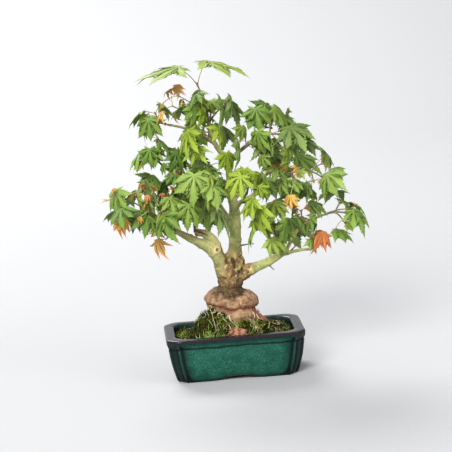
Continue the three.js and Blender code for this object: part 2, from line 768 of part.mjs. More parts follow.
// One leaf: a palm of pointed lobes, thickest where the stalk meets it and curved down to its tips, on a
// three-sided stalk whose root is sunk in the shoot. The stalk's last ring is an opening in the heel of
// the blade. Blade and stalk are given apart as well, to test what they touch.
function makeLeaf(leaf, extra) {
  const size = leaf.size * extra.size;
  const { joint, along, normal, side } = bladeAxes(leaf, extra);
  const rim = bladeOutline().map(({ angle, share, drop }) => {
    const down = leaf.cup * share * share + drop;
    return joint
      .clone()
      .addScaledVector(along, size * share * Math.cos(degrees(angle)))
      .addScaledVector(side, size * share * Math.sin(degrees(angle)))
      .addScaledVector(normal, -size * down);
  });
  const last = rim.length - 1;
  const [top, under, stalkStart] = [last + 1, last + 2, last + 3];
  const upper = joint.clone().addScaledVector(normal, LEAF.thickness / 2);
  const lower = joint.clone().addScaledVector(normal, -LEAF.thickness / 2);
  const bladePoints = [...rim, upper, lower];
  const bladeFaces = rim.slice(1).flatMap((_, i) => [top, i, i + 1, under, i + 1, i]);
  bladeFaces.push(under, 0, last);
  const rings = stalkRings(leaf, side);
  const joined = stalkFaces(
    [0, 1, 2].map((i) => stalkStart + i),
    [3, 4, 5].map((i) => stalkStart + i),
    [top, 0, last],
  );
  return {
    blade: solidFrom(bladePoints, [...bladeFaces, top, last, 0]),
    stalk: skin(rings),
    whole: solidFrom([...bladePoints, ...rings.flat()], [...bladeFaces, ...joined]),
  };
}

// The three-sided rings of a stalk at its root and just short of its blade.
function stalkRings(leaf, side) {
  const across = side.clone().addScaledVector(leaf.way, -side.dot(leaf.way)).normalize();
  const over = new THREE.Vector3().crossVectors(leaf.way, across);
  return [-STALK.sunk, leaf.stalk - STALK.bend].map((distance) =>
    [90, 210, 330].map((angle) =>
      leaf.root
        .clone()
        .addScaledVector(leaf.way, distance)
        .addScaledVector(over, STALK.radius * Math.sin(degrees(angle)))
        .addScaledVector(across, STALK.radius * Math.cos(degrees(angle))),
    ),
  );
}

// The faces of a stalk through three rings of three points, closed at its root only.
function stalkFaces(...rings) {
  const faces = [rings[0][0], rings[0][2], rings[0][1]];
  rings.slice(1).forEach((upper, row) => {
    for (let i = 0; i < 3; i++) {
      const next = (i + 1) % 3;
      faces.push(rings[row][i], rings[row][next], upper[next], rings[row][i], upper[next], upper[i]);
    }
  });
  return faces;
}

// Whether a solid keeps clear of every solid in a list.
const clearOf = (solid, others) => others.every((other) => solid.minGap(other, CLEARANCE) >= CLEARANCE);

// A part of a curve, from a share of its length to its end.
function partOf(curve, start) {
  const part = new THREE.Curve();
  part.getPoint = (t, target = new THREE.Vector3()) => curve.getPoint(start + (1 - start) * t, target);
  return part;
}

// The twigs of one mass. Its stem starts where it first comes clear of the bough that it leaves, and a
// side shoot with no room is left out.
function makeTwigs(shoots, boughs, others) {
  const [{ curve: stem }, ...sides] = shoots;
  let start = 0;
  let body;
  do {
    start += SHOOT.startStep / stem.getLength();
    body = tube(partOf(stem, start), (t) => within(SHOOT.stemRadius, t), 3, SHOOT.stemSteps);
  } while (!clearOf(body, boughs));
  const twigs = [body];
  const grown = [shoots[0]];
  for (const shoot of sides) {
    const twig = tube(shoot.curve, () => SHOOT.sideRadius, 3, SHOOT.sideSteps);
    if (!clearOf(twig, [...boughs, ...others])) continue;
    twigs.push(twig);
    grown.push(shoot);
  }
  return { grown, solid: wasm.Manifold.union(twigs) };
}

// The leaves of one mass: each takes the first of a few turns in which it keeps clear of all else, and
// its blade keeps clear of its own mass.
function makeLeaves(mass, twigs, draw, others) {
  const leaves = [];
  for (const shoot of twigs.grown) {
    for (const leaf of growPair(mass, shoot, draw)) {
      const blades = leaves.map(({ blade }) => blade);
      const stalks = leaves.map(({ stalk }) => stalk);
      const made = LEAF.tries
        .map((extra) => makeLeaf(leaf, extra))
        .find(
          ({ blade, whole }) =>
            clearOf(whole, others) && clearOf(whole, blades) && clearOf(blade, [twigs.solid, ...stalks]),
        );
      if (made) leaves.push(made);
    }
  }
  return leaves.map(({ whole }) => whole);
}

// The whole plant

const plant = new THREE.Group();
plant.position.set(-CROWN_MIDDLE.x, -CROWN_MIDDLE.y, 0);

function addNode(name, solid, material) {
  const { numProp, vertProperties, triVerts } = solid.getMesh();
  const geometry = new THREE.BufferGeometry();
  const places = new Float32Array((vertProperties.length / numProp) * 3);
  for (let i = 0; i < places.length / 3; i++) {
    places.set(vertProperties.subarray(i * numProp, i * numProp + 3), 3 * i);
  }
  geometry.setAttribute("position", new THREE.BufferAttribute(places, 3));
  geometry.setIndex(new THREE.BufferAttribute(triVerts, 1));
  geometry.computeVertexNormals();
  const mesh = new THREE.Mesh(geometry, new THREE.MeshStandardMaterial({ metalness: 0, ...material }));
  mesh.name = name;
  plant.add(mesh);
}

const trunk = makeTrunk();
const grownTrunk = makeTrunk(CLEARANCE);
addNode("pot", makePot(), GLAZE);
addNode("pebble", makePebble(), STONE);
addNode("soil", makeSoil([grownTrunk, makePebble(CLEARANCE)]), MOSS);
addNode("trunk", trunk, TRUNK_BARK);

// Each bough is cut clear of the trunk and of the boughs made before it.
const curves = {};
const wood = [trunk];
let grownWood = grownTrunk;
for (const [name, bough] of Object.entries(BOUGHS)) {
  curves[name] = boughCurve(bough);
  const solid = soundBody(makeBough(bough, curves[name]).subtract(grownWood));
  grownWood = grownWood.add(makeBough(bough, curves[name], CLEARANCE));
  wood.push(solid);
  addNode(name, solid, BOUGH_BARK);
}

// All twigs come before any leaf, so that a leaf keeps clear of every mass's twigs.
const masses = Object.entries(MASSES).map(([name, mass], index) => ({ name, mass, index }));
const twigSolids = [];
for (const entry of masses) {
  const { mass, index } = entry;
  const shoots = growShoots(mass, curves[mass.on].getPoint(mass.at), seeded(index + 1));
  entry.twigs = makeTwigs(shoots, wood, twigSolids);
  twigSolids.push(entry.twigs.solid);
}
const leafSolids = [];
for (const { name, mass, index, twigs } of masses) {
  const others = [...wood, ...twigSolids.filter((_, i) => i !== index), ...leafSolids];
  const leaves = makeLeaves(mass, twigs, seeded(mass.seed), others);
  const solid = soundBody(wasm.Manifold.union([twigs.solid, ...leaves]));
  leafSolids.push(solid);
  addNode(name, solid, { color: LEAF_COLOURS[mass.tint], roughness: 0.6 });
}

export default plant;
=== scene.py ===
import bpy
import numpy as np
from mathutils import Matrix


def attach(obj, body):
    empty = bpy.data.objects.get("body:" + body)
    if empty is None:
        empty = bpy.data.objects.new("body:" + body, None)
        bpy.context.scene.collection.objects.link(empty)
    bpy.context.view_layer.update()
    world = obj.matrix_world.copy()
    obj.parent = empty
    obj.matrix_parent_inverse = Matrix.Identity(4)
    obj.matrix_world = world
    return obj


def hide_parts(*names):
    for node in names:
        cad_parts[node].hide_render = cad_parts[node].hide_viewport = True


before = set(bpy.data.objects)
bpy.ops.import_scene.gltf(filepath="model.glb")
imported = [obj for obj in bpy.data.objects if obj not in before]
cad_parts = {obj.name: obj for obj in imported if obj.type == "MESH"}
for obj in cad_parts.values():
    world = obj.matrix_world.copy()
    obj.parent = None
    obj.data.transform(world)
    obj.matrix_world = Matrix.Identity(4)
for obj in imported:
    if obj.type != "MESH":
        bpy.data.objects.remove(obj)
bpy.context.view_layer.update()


# Glazed pot
# A slab-built stoneware pot with eight upright edges, a rolled band under the rim and four low feet.
# The edges carry a thin rib between two grooves, where the glaze breaks dark; beside each rib and
# on the cut corners the dark is partly painted shade. It stands on the ground.
CROWN_MIDDLE = np.array([8.3, 7.0, 0.0])
MILLIMETRE = 0.001
POT_WIDTH, POT_DEPTH, POT_HEIGHT = 133.0, 84.0, 43.5
POT_CORNER, POT_TAPER, CORNER_SHRINK, SMALLEST_CORNER = 9.5, 6.2, 0.16, 7.0
WALL, FLOOR, LIP, BAND_HEIGHT, BAND_STEP = 6.0, 8.5, 8.5, 8.0, 1.0
BAND = POT_HEIGHT - BAND_HEIGHT
FOOT_HEIGHT, FOOT_WIDTH = 4.0, 5.5
FOOT_CURVE, CURVE_HEIGHT = 3.4, 31.0
# The foot's arches: widths in front and at the sides, the least distance of those sides from the middle,
# and rise.
ARCH_WIDTHS, ARCH_STARTS, ARCH_RISE = (54.0, 26.0), (20, 45), 3.2
DRAIN_RADIUS, DRAIN_SPREAD = 6.0, 27.0


def to_scene(points):
    """Turns millimetres from the ground under the pot into metres from the middle of the whole plant."""
    return (np.asarray(points, float) - CROWN_MIDDLE) * MILLIMETRE


def make_piece(name, points, faces, finish, values=None):
    """Makes a smooth mesh object from points and faces that all have one number of corners, with named
    values for each point that its finish reads."""
    faces = np.asarray(faces, np.int32)
    mesh = bpy.data.meshes.new(name)
    mesh.vertices.add(len(points))
    put_points(mesh, points)
    mesh.loops.add(faces.size)
    mesh.loops.foreach_set("vertex_index", faces.ravel())
    mesh.polygons.add(len(faces))
    mesh.polygons.foreach_set("loop_start", np.arange(0, faces.size, faces.shape[1], dtype=np.int32))
    mesh.polygons.foreach_set("use_smooth", np.ones(len(faces), bool))
    mesh.update(calc_edges=True)
    give_values(mesh, values or {})
    mesh.materials.append(finish.material)
    piece = bpy.data.objects.new(name, mesh)
    bpy.context.scene.collection.objects.link(piece)
    return piece


def put_points(mesh, points):
    """Puts a mesh's points at places in millimetres."""
    mesh.vertices.foreach_set("co", to_scene(points).astype(np.float32).ravel())


def give_values(mesh, values):
    """Keeps named numbers on the points of a mesh."""
    for key, numbers in values.items():
        layer = mesh.attributes.new(key, "FLOAT", "POINT")
        layer.data.foreach_set("value", np.asarray(numbers, np.float32).ravel())


def unit(vectors):
    """Vectors of length 1."""
    return vectors / np.maximum(np.linalg.norm(vectors, axis=-1, keepdims=True), 1e-12)


def ease(values, low, high):
    """A smooth step from 0 at low to 1 at high."""
    share = np.clip((np.asarray(values, float) - low) / (high - low), 0, 1)
    return share * share * (3 - 2 * share)


def bell(values, middle, width):
    """A bell curve: 1 at the middle, falling off over a width."""
    return np.exp(-(((np.asarray(values, float) - middle) / width) ** 2))


def grid_faces(rows, columns):
    """Triangle pairs between each point of a grid of rings and its neighbours in the next ring and
    column; the last column joins the first one."""
    row, column = np.meshgrid(np.arange(rows - 1), np.arange(columns), indexing="ij")
    here = row * columns + column
    beside = row * columns + (column + 1) % columns
    lower = np.stack([here, beside, beside + columns], -1).reshape(-1, 3)
    upper = np.stack([here, beside + columns, here + columns], -1).reshape(-1, 3)
    return np.concatenate([lower, upper])


def closed_faces(rows, columns):
    """The faces of a grid of rings whose first and last ring each close on one more point: the two
    middle points follow the grid's own."""
    here, beside = np.arange(columns), (np.arange(columns) + 1) % columns
    last = (rows - 1) * columns
    middles = np.full((2, columns), rows * columns) + [[0], [1]]
    start = np.stack([beside, here, middles[0]], -1)
    end = np.stack([last + here, last + beside, middles[1]], -1)
    return np.concatenate([grid_faces(rows, columns), start, end])


def lattice_noise(points, size, seed):
    """Smooth random values between -1 and 1: random numbers on a cubic lattice with cells of a size,
    blended between the eight corners round each point."""
    table = np.random.default_rng(seed).uniform(-1, 1, (32, 32, 32))
    scaled = np.asarray(points, float) / size
    cell = np.floor(scaled).astype(int)
    part = scaled - cell
    part = part * part * (3 - 2 * part)
    total = np.zeros(scaled.shape[:-1])
    for corner in np.ndindex(2, 2, 2):
        weight = np.prod(np.where(corner, part, 1 - part), axis=-1)
        index = (cell + corner) % 32
        total += weight * table[index[..., 0], index[..., 1], index[..., 2]]
    return total


def rough(points, size, seed, layers=3):
    """Layers of smooth random values, each finer by half and weaker by half."""
    return sum(0.5**i * lattice_noise(points, size * 0.5**i, seed + i) for i in range(layers))


def wall_inset(z):
    """How far the hollow's wall, moved out by its thickness, lies inside the rim's outline at a height: a
    straight taper."""
    return BAND_STEP + (POT_TAPER - BAND_STEP) * (1 - np.asarray(z, float) / POT_HEIGHT)


def outer_inset(z):
    """How far the outer wall lies inside the rim's outline: the taper, and a curve that draws the wall in
    toward the foot by the square of the depth below a height."""
    return wall_inset(z) + FOOT_CURVE * np.clip(1 - np.asarray(z, float) / CURVE_HEIGHT, 0, 1) ** 2


# Distances from an upright edge at which the outline has a point, and the points on each panel between.
EDGE_STEPS = np.array([0.0, 0.35, 0.7, 1.05, 1.4, 1.8, 2.2, 2.6, 3.0, 3.5, 4.1, 4.8])
PANEL_KINDS = ["short", "cut", "long", "cut", "short", "cut", "long", "cut"]
PANEL_POINTS = {"long": 46, "short": 26, "cut": 3}
RIB_HEIGHT, RIB_WIDTH, GROOVE_DEPTH, GROOVE_PLACE, GROOVE_WIDTH = 0.9, 0.95, 0.85, 2.5, 0.75
# How far from an edge the outline still moves the corner's own way, and the share of a fillet's length
# that rounds a corner off.
CORNER_REACH, CORNER_ROUND = 2.0, 0.207


def pot_corners(inset):
    """The eight corners of the pot's outline at an inset, in the order of its sides."""
    x, y = POT_WIDTH / 2 - inset, POT_DEPTH / 2 - inset
    cut = max(POT_CORNER - inset * CORNER_SHRINK, SMALLEST_CORNER)
    front = [[x, cut - y], [x, y - cut], [x - cut, y], [cut - x, y]]
    back = [[-x, y - cut], [-x, cut - y], [cut - x, -y], [x - cut, -y]]
    return np.array(front + back)


def pot_ring(inset, rib, fillet):
    """The pot's outline: straight sides, moved out by a bead and in by a groove near each corner, with
    the corner rounded by a parabola over a fillet's length."""
    corners = pot_corners(inset)
    ends = np.roll(corners, -1, 0)
    lengths = np.linalg.norm(ends - corners, axis=1)
    ways = unit(ends - corners)
    outs = np.column_stack([ways[:, 1], -ways[:, 0]])
    corner_outs = unit(outs + np.roll(outs, 1, 0))
    sides = []
    for i, kind in enumerate(PANEL_KINDS):
        last = lengths[i] - EDGE_STEPS[-1]
        panel = np.linspace(EDGE_STEPS[-1], last, PANEL_POINTS[kind] + 2)[1:-1]
        place = np.concatenate([EDGE_STEPS, panel, (lengths[i] - EDGE_STEPS)[:0:-1]])
        near = np.minimum(place, lengths[i] - place)
        first_half = (place < lengths[i] / 2)[:, None]
        way = np.where(first_half, corner_outs[i], corner_outs[(i + 1) % 8])
        blend = np.clip(1 - near / CORNER_REACH, 0, 1)[:, None]
        bead = RIB_HEIGHT * bell(near, 0, RIB_WIDTH) - GROOVE_DEPTH * bell(near, GROOVE_PLACE, GROOVE_WIDTH)
        rounding = -CORNER_ROUND * np.maximum(0, fillet - near) ** 2 / fillet
        shift = unit(way * blend + outs[i] * (1 - blend)) * (rib * bead + rounding)[:, None]
        sides.append(corners[i] + ways[i] * place[:, None] + shift)
    return np.concatenate(sides)


def arch_rise(ring):
    """How far the foot is lifted off the ground: an eased arch in the middle of each of the four sides."""
    across, back = np.abs(ring).T
    front = (1 - ease(across, 2, ARCH_WIDTHS[0] / 2)) * (back > ARCH_STARTS[0])
    side = (1 - ease(back, 1, ARCH_WIDTHS[1] / 2)) * (across > ARCH_STARTS[1])
    return ARCH_RISE * np.maximum(front, side)


def rib_pool_and_shade(ring, inset):
    """How dark the glaze is near the ribs: glaze pooled in the grooves beside them, and painted shade over
    a wider strip and on the cut corners, fading in over a few millimetres from an upright edge; none on
    the rib itself."""
    near = np.linalg.norm(ring[:, None, :] - pot_corners(inset)[None], axis=-1).min(1)
    beyond = np.abs(ring) - np.abs(pot_corners(inset)).max(0) + POT_CORNER
    on_cut = ease(beyond.min(1), -0.5, 1.5)
    # Painted shade: a strip beside each rib and the whole cut corner, over glaze pooled in the grooves.
    dark = np.clip(bell(near, 2.7, 1.5) + 0.55 * bell(near, 3, 6) + 0.7 * on_cut, 0, 1)
    return dark - 0.7 * bell(near, 0, 1.0)


def pot_profile():
    """The rings from the middle of the underside, round the foot, up the wall, over the rim and down to
    the floor. Each has an inset, a height, its share of the rib, the corner's fillet, its share of the
    foot's arch, and how thin and how pooled its glaze is."""
    foot, brim = outer_inset(0), outer_inset(BAND)
    rings = [
        (foot + 22, FOOT_HEIGHT, 0, 3, 0, 0.6, 0),
        (foot + FOOT_WIDTH + 0.6, FOOT_HEIGHT, 0, 2, 0, 0.6, 0),
        (foot + FOOT_WIDTH, FOOT_HEIGHT - 0.6, 0, 2, 0, 0.6, 0),
        (foot + FOOT_WIDTH, 0.7, 0, 2, 0.9, 0.6, 0),
        (foot + FOOT_WIDTH - 0.7, 0.0, 0, 2, 1, 1, 0),
        (foot + 1.4, 0.0, 0.3, 2, 1, 1, 0),
        (foot + 0.5, 0.25, 0.6, 1.5, 1, 0.9, 0.2),
        (foot + 0.05, 1.0, 0.9, 1.5, 1, 0.55, 0.6),
        (outer_inset(2.2), 2.2, 1, 1.5, 0.75, 0.1, 0.75),
        (outer_inset(4.0), 4.0, 1, 1.5, 0.4, 0, 0.35),
        (outer_inset(7.0), 7.0, 1, 1.5, 0.1, 0, 0.1),
    ]
    rings += [(outer_inset(z), z, 1, 1.5, 0, 0, 0) for z in np.linspace(10, BAND - 3.4, 16)]
    rings += [
        (brim + 0.10, BAND - 2.4, 1, 1.5, 0, 0, 0.1),
        (brim + 0.25, BAND - 1.6, 0.95, 1.5, 0, 0, 0.45),
        (brim + 0.45, BAND - 1.0, 0.9, 1.5, 0, 0, 1),
        (brim + 0.20, BAND - 0.4, 0.8, 1.6, 0, 0, 1),
        (brim - 0.55, BAND + 0.2, 0.6, 2.4, 0, 0, 0.35),
        (brim - 0.95, BAND + 1.0, 0.5, 3.2, 0, 0, 0),
        (0.35, BAND + 2.2, 0.4, 3.8, 0, 0, 0.25),
        (0.15, BAND + 3.6, 0.3, 4.2, 0, 0.15, 0.75),
        (0.0, BAND + 5.0, 0.25, 4.4, 0, 0.5, 0.7),
        (0.0, BAND + 6.2, 0.2, 4.4, 0, 1, 0.15),
        (0.12, POT_HEIGHT - 1.0, 0.15, 4.4, 0, 1, 0),
        (0.45, POT_HEIGHT - 0.45, 0.1, 4.4, 0, 1, 0),
        (1.0, POT_HEIGHT - 0.1, 0, 4.5, 0, 0.9, 0),
        (1.8, POT_HEIGHT, 0, 4.6, 0, 0.85, 0),
        (4.5, POT_HEIGHT, 0, 4.7, 0, 0.7, 0.2),
        (BAND_STEP + LIP - 1.2, POT_HEIGHT - 0.05, 0, 4.7, 0, 0.8, 0.2),
        (BAND_STEP + LIP - 0.4, POT_HEIGHT - 0.4, 0, 4.7, 0, 0.8, 0),
        (BAND_STEP + LIP + 0.05, POT_HEIGHT - 1.2, 0, 4.7, 0, 0.7, 0),
        (BAND_STEP + LIP - 0.4, BAND + 2.5, 0, 4.7, 0, 0.5, 0.8),
        (brim + WALL, BAND - 1, 0, 4.7, 0, 0.3, 0.9),
        (wall_inset(24) + WALL, 24, 0, 4.7, 0, 0.3, 0),
        (wall_inset(FLOOR) + WALL, FLOOR + 1.5, 0, 4.7, 0, 0.3, 0),
        (wall_inset(FLOOR) + WALL + 1.5, FLOOR, 0, 4.7, 0, 0.3, 0),
    ]
    return rings


def make_pot_grid():
    """The pot's rings of points, with a slow wave along the band's lower edge and the slight unevenness
    of slabs joined by hand."""
    points, thin, pooled = [], [], []
    for inset, z, rib, fillet, arch, bare, pool in pot_profile():
        ring = pot_ring(inset, rib, fillet)
        near_band = float(BAND - 3 < z < BAND + 1.5)
        wave = 0.35 * np.sin(ring[:, 0] * 0.11 + 0.7) + 0.2 * np.sin(ring[:, 0] * 0.31 + ring[:, 1] * 0.2)
        points.append(np.column_stack([ring, z + arch * arch_rise(ring) + near_band * wave]))
        thin.append(np.full(len(ring), bare))
        # Pooled glaze from the profile, and near the ribs pooled glaze and painted shade.
        pooled.append(pool + (rib > 0.3) * rib_pool_and_shade(ring, inset))
    rows, points = len(points), np.concatenate(points)
    outward = unit(points * [1, 1, 0]) * (points[:, 2:] > 0.5)
    points = points + outward * 0.18 * rough(points, 16, 5, 2)[:, None]
    return points, np.concatenate(thin), np.concatenate(pooled), rows


def feed(tree, socket, value):
    """Gives an input another node's output, or a number, a vector or a colour of its own."""
    if isinstance(value, bpy.types.NodeSocket):
        tree.links.new(value, socket)
    else:
        socket.default_value = (*value, 1) if socket.type == "RGBA" else value


def add_node(tree, kind, *sources, **values):
    """Adds one shader node, with its own settings. Sources feed its inputs in their order, and values
    the inputs of their names."""
    node = tree.nodes.new(kind)
    named = [key for key in values if key in node.inputs]
    for key in set(values) - set(named):
        setattr(node, key, values[key])
    for key, value in [*enumerate(sources), *((key, values[key]) for key in named)]:
        feed(tree, node.inputs[key], value)
    return node


def build_mottle_group():
    """A group that turns noise of a given size, in millimetres, into a mask: 0 below a low value of the
    noise, 1 above a high one, and eased between. Roughen adds finer layers."""
    group = bpy.data.node_groups.new("mottle", "ShaderNodeTree")
    inputs = {"Size": 4.0, "Low": 0.4, "High": 0.6, "Shift": 0.0, "Stretch": 1.0, "Roughen": 0.55}
    for key, value in inputs.items():
        group.interface.new_socket(key, in_out="INPUT", socket_type="NodeSocketFloat").default_value = value
    group.interface.new_socket("Mask", in_out="OUTPUT", socket_type="NodeSocketFloat")
    given = group.nodes.new("NodeGroupInput").outputs
    place = add_node(group, "ShaderNodeTexCoord").outputs["Object"]
    longer = add_node(group, "ShaderNodeCombineXYZ", 1, 1, given["Stretch"]).outputs[0]
    spread = add_node(group, "ShaderNodeVectorMath", place, longer, operation="MULTIPLY").outputs[0]
    moved = add_node(group, "ShaderNodeVectorMath", spread, given["Shift"], operation="ADD").outputs[0]
    scale = add_node(group, "ShaderNodeMath", 1 / MILLIMETRE, given["Size"], operation="DIVIDE").outputs[0]
    noise = add_node(group, "ShaderNodeTexNoise", Vector=moved, Scale=scale, Detail=4.0)
    feed(group, noise.inputs["Roughness"], given["Roughen"])
    limits = (noise.outputs["Fac"], given["Low"], given["High"])
    mask = add_node(group, "ShaderNodeMapRange", *limits, interpolation_type="SMOOTHSTEP").outputs[0]
    feed(group, group.nodes.new("NodeGroupOutput").inputs["Mask"], mask)
    return group


mottle_group = build_mottle_group()


class Finish:
    """A material with one Principled shader, whose fixed values are set on its own sockets. A mask may be
    given as an output, as the name of a value that the mesh gives its points, or as the numbers of a
    mottle: size, low, high, shift, stretch and roughness."""

    def __init__(self, name, roughness, **fixed):
        self.material = bpy.data.materials.new(name)
        self.material.use_nodes = True
        self.tree = self.material.node_tree
        self.shader = self.tree.nodes["Principled BSDF"]
        for socket, value in {"Roughness": roughness, **fixed}.items():
            self.shader.inputs[socket].default_value = value

    def node(self, kind, *sources, **values):
        """One more node in this material."""
        return add_node(self.tree, kind, *sources, **values)

    def mask(self, source):
        """The output that a mask stands for."""
        if isinstance(source, tuple):
            return self.node("ShaderNodeGroup", *source, node_tree=mottle_group).outputs["Mask"]
        if isinstance(source, str):
            return self.node("ShaderNodeAttribute", attribute_name=source).outputs["Fac"]
        return source

    def calculate(self, operation, *masks, clamp=False):
        """One sum on masks or numbers."""
        masks = [self.mask(mask) for mask in masks]
        return self.node("ShaderNodeMath", *masks, operation=operation, use_clamp=clamp).outputs[0]

    def eased(self, mask, low, high, below=0.0, above=1.0):
        """A mask that goes smoothly from one number at a low value to another at a high one."""
        values = (self.mask(mask), low, high, below, above)
        return self.node("ShaderNodeMapRange", *values, interpolation_type="SMOOTHSTEP").outputs[0]

    def layers(self, colour, *coats):
        """A colour with coats laid over it. Each has a mask, a colour and, where it is thin, the share of
        it that shows."""
        for mask, over, *share in coats:
            mask = self.calculate("MULTIPLY", mask, *share) if share else self.mask(mask)
            mix = self.node("ShaderNodeMix", mask, data_type="RGBA")
            feed(self.tree, mix.inputs[6], colour)
            feed(self.tree, mix.inputs[7], over)
            colour = mix.outputs[2]
        return colour

    def paint(self, colour, *coats):
        """Gives the surface a colour under its coats."""
        feed(self.tree, self.shader.inputs["Base Color"], self.layers(colour, *coats))

    def emboss(self, height, depth, strength=1.0):
        """Bumps the surface by a mask whose full step is a depth in millimetres."""
        bump = self.node("ShaderNodeBump", Strength=strength, Distance=depth * MILLIMETRE)
        feed(self.tree, bump.inputs["Height"], self.mask(height))
        feed(self.tree, self.shader.inputs["Normal"], bump.outputs[0])


def make_finish(name, roughness, colour, *coats, **fixed):
    """A finish of one colour under its coats."""
    finish = Finish(name, roughness, **fixed)
    finish.paint(colour, *coats)
    return finish


def make_glaze():
    """Teal glaze: two greens in soft clouds, a fine paler crackle, purple-brown where it is thin on the
    edges, and nearly black where it has pooled and where painted shade lies beside the ribs and on the
    cut corners."""
    glaze = Finish("teal_glaze", 0.22, IOR=1.24)
    place = glaze.node("ShaderNodeTexCoord").outputs["Object"]
    bend = glaze.node("ShaderNodeTexNoise", Vector=place, Scale=240.0, Detail=3.0).outputs["Color"]
    bent = glaze.node("ShaderNodeVectorMath", bend, [0.004] * 3, place, operation="MULTIPLY_ADD").outputs[0]
    cells = glaze.node("ShaderNodeTexVoronoi", feature="DISTANCE_TO_EDGE", Vector=bent, Scale=520.0)
    cracks = glaze.eased(cells.outputs["Distance"], 0.0, 0.16, 0.55, 0.0)
    uneven = glaze.calculate("MULTIPLY", (5, 0.25, 0.75, 5), 0.45)
    thin = glaze.calculate("MULTIPLY", "thin_glaze", 1.4)
    glaze.paint(
        (0.004, 0.04, 0.025),
        ((14, 0.3, 0.7), (0.007, 0.053, 0.034)),
        ((5, 0.6, 0.84, 3, 0.45), (0.003, 0.023, 0.018)),
        (glaze.calculate("MULTIPLY", cracks, (9, 0.28, 0.66, 7)), (0.036, 0.16, 0.112)),
        ((0.8, 0.64, 0.74, 11), (0.06, 0.22, 0.15), 0.65),
        (glaze.calculate("SUBTRACT", thin, uneven, clamp=True), (0.015, 0.009, 0.013)),
        # Nearly black where the glaze has pooled, and painted shade beside the ribs and on the cut corners.
        (glaze.calculate("MULTIPLY", "pooled_glaze", 0.93, clamp=True), (0.001, 0.004, 0.005)),
    )
    glaze.emboss((3.5, 0.2, 0.8, 2), 0.12, 0.5)
    return glaze


def make_unglazed_clay():
    """Bare fired clay under the foot: dull brown with fine sand."""
    clay = make_finish("bare_clay", 0.85, (0.1, 0.065, 0.045), ((1.5, 0.3, 0.7), (0.19, 0.13, 0.09)))
    clay.emboss((0.6, 0.3, 0.7), 0.15)
    return clay


pot_points, thin_glaze, pooled_glaze, pot_rows = make_pot_grid()
pot = make_piece(
    "glazed_pot",
    np.concatenate([pot_points, [[0, 0, FOOT_HEIGHT], [0, 0, FLOOR]]]),
    closed_faces(pot_rows, len(pot_points) // pot_rows),
    make_glaze(),
    {"thin_glaze": [*thin_glaze, 0.6, 0.3], "pooled_glaze": [*pooled_glaze, 0, 0]},
)


def drill_drains(piece, clay):
    """Cuts the two round drainage holes through the floor, their walls bare clay."""
    for side in (-1, 1):
        centre = to_scene([side * DRAIN_SPREAD, 0, FLOOR / 2])
        bpy.ops.mesh.primitive_cylinder_add(
            vertices=40, radius=DRAIN_RADIUS * MILLIMETRE, depth=3 * FLOOR * MILLIMETRE, location=centre
        )
        drill = bpy.context.object
        drill.data.materials.append(clay.material)
        cut = piece.modifiers.new("drain", "BOOLEAN")
        cut.operation = "DIFFERENCE"
        cut.solver = "MANIFOLD"
        cut.object = drill
        bpy.context.view_layer.objects.active = piece
        bpy.ops.object.modifier_apply(modifier=cut.name)
        bpy.data.objects.remove(drill, do_unlink=True)


bare_clay = make_unglazed_clay()
pot.data.materials.append(bare_clay.material)
for face in pot.data.polygons:
    if face.center.z < (FLOOR - 0.5) * MILLIMETRE and face.normal.z < -0.8:
        face.material_index = 1
drill_drains(pot, bare_clay)
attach(pot, "root")
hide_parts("pot")


# Mossy soil
# Dark crumbly soil fills the pot to just under its rim and rises to the trunk, in heaps of moss on its
# left and front. It is one closed lump: rings from the bottom of the fill up the wall and in to the middle.
SOIL_EDGE, SOIL_CENTRE, SOIL_SLOPE, SOIL_EDGE_SLOPE, SOIL_GAP = 37.0, 46.0, 2.2, 6.0, 0.25
# Heaps: across, back, rise and spread.
HEAPS = [
    (-21, -15, 23, 10),
    (-8, -21, 12, 8),
    (-31, -4, 12, 8),
    (9, -20, 10, 9),
    (26, -14, 8, 8),
    (33, -1, 4, 8),
    (-36, -22, 3, 10),
]
SOIL_ROWS, SOIL_COLUMNS = 120, 400


def hollow_reach(angle, z):
    """Distance from the middle to the pot's inner wall, less a gap, at an angle: the nearest of the eight
    straight sides of the hollow."""
    inset = max(wall_inset(z) + WALL, BAND_STEP + LIP if z > BAND - 2 else 0)
    corners = pot_corners(inset + SOIL_GAP)
    way = unit(np.roll(corners, -1, 0) - corners)
    out = np.column_stack([way[:, 1], -way[:, 0]])
    toward = np.cos(angle)[:, None] * out[:, 0] + np.sin(angle)[:, None] * out[:, 1]
    distance = (out * corners).sum(1) / np.where(toward > 1e-6, toward, np.nan)
    return np.nanmin(distance, axis=1)


def heap_rise(x, y):
    """How far the heaps lift the soil at a place."""
    return sum(rise * bell(np.hypot(x - across, y - back), 0, spread) for across, back, rise, spread in HEAPS)


def moss_cover(points):
    """How much moss grows at a place, from 0 to 1: full on the heaps and in the front, thin at the back."""
    patches = 0.5 + 0.6 * rough(points * [1, 1, 0.3], 13, 31)
    front = ease(-points[:, 1] + 0.25 * np.abs(points[:, 0]), -16, 14)
    heap = ease(heap_rise(points[:, 0], points[:, 1]), 1.0, 6.0)
    return np.clip(patches * (0.35 + 0.65 * front) + 0.45 * heap, 0, 1)


def soil_top(x, y, share):
    """The places of the soil's surface: it rises from the wall, where share is 1, to the trunk, with
    heaps, cushions of moss and crumbs of soil."""
    ripple = 0.7 * np.sin(0.61 * x + 0.8 * np.sin(0.37 * y)) * np.cos(0.53 * y)
    rise = (SOIL_CENTRE - SOIL_EDGE) * (1 - share**SOIL_SLOPE)
    heaps = heap_rise(x, y)
    z = SOIL_EDGE + rise + (heaps + ripple) * (1 - share**SOIL_EDGE_SLOPE)
    top = np.stack([x, y, z], -1)
    cushions = np.abs(lattice_noise(top, 4.6, 12)) + 0.6 * np.abs(lattice_noise(top, 2.2, 13))
    lumps = (2.8 * cushions - 1.0) * moss_cover(top.reshape(-1, 3)).reshape(x.shape)
    lumps = lumps + 0.55 * rough(top, 2.2, 14) + 0.10 * np.minimum(heaps, 14) * rough(top, 6, 15)
    top[..., 2] += lumps * (1 - ease(share, 0.965, 1))
    return top


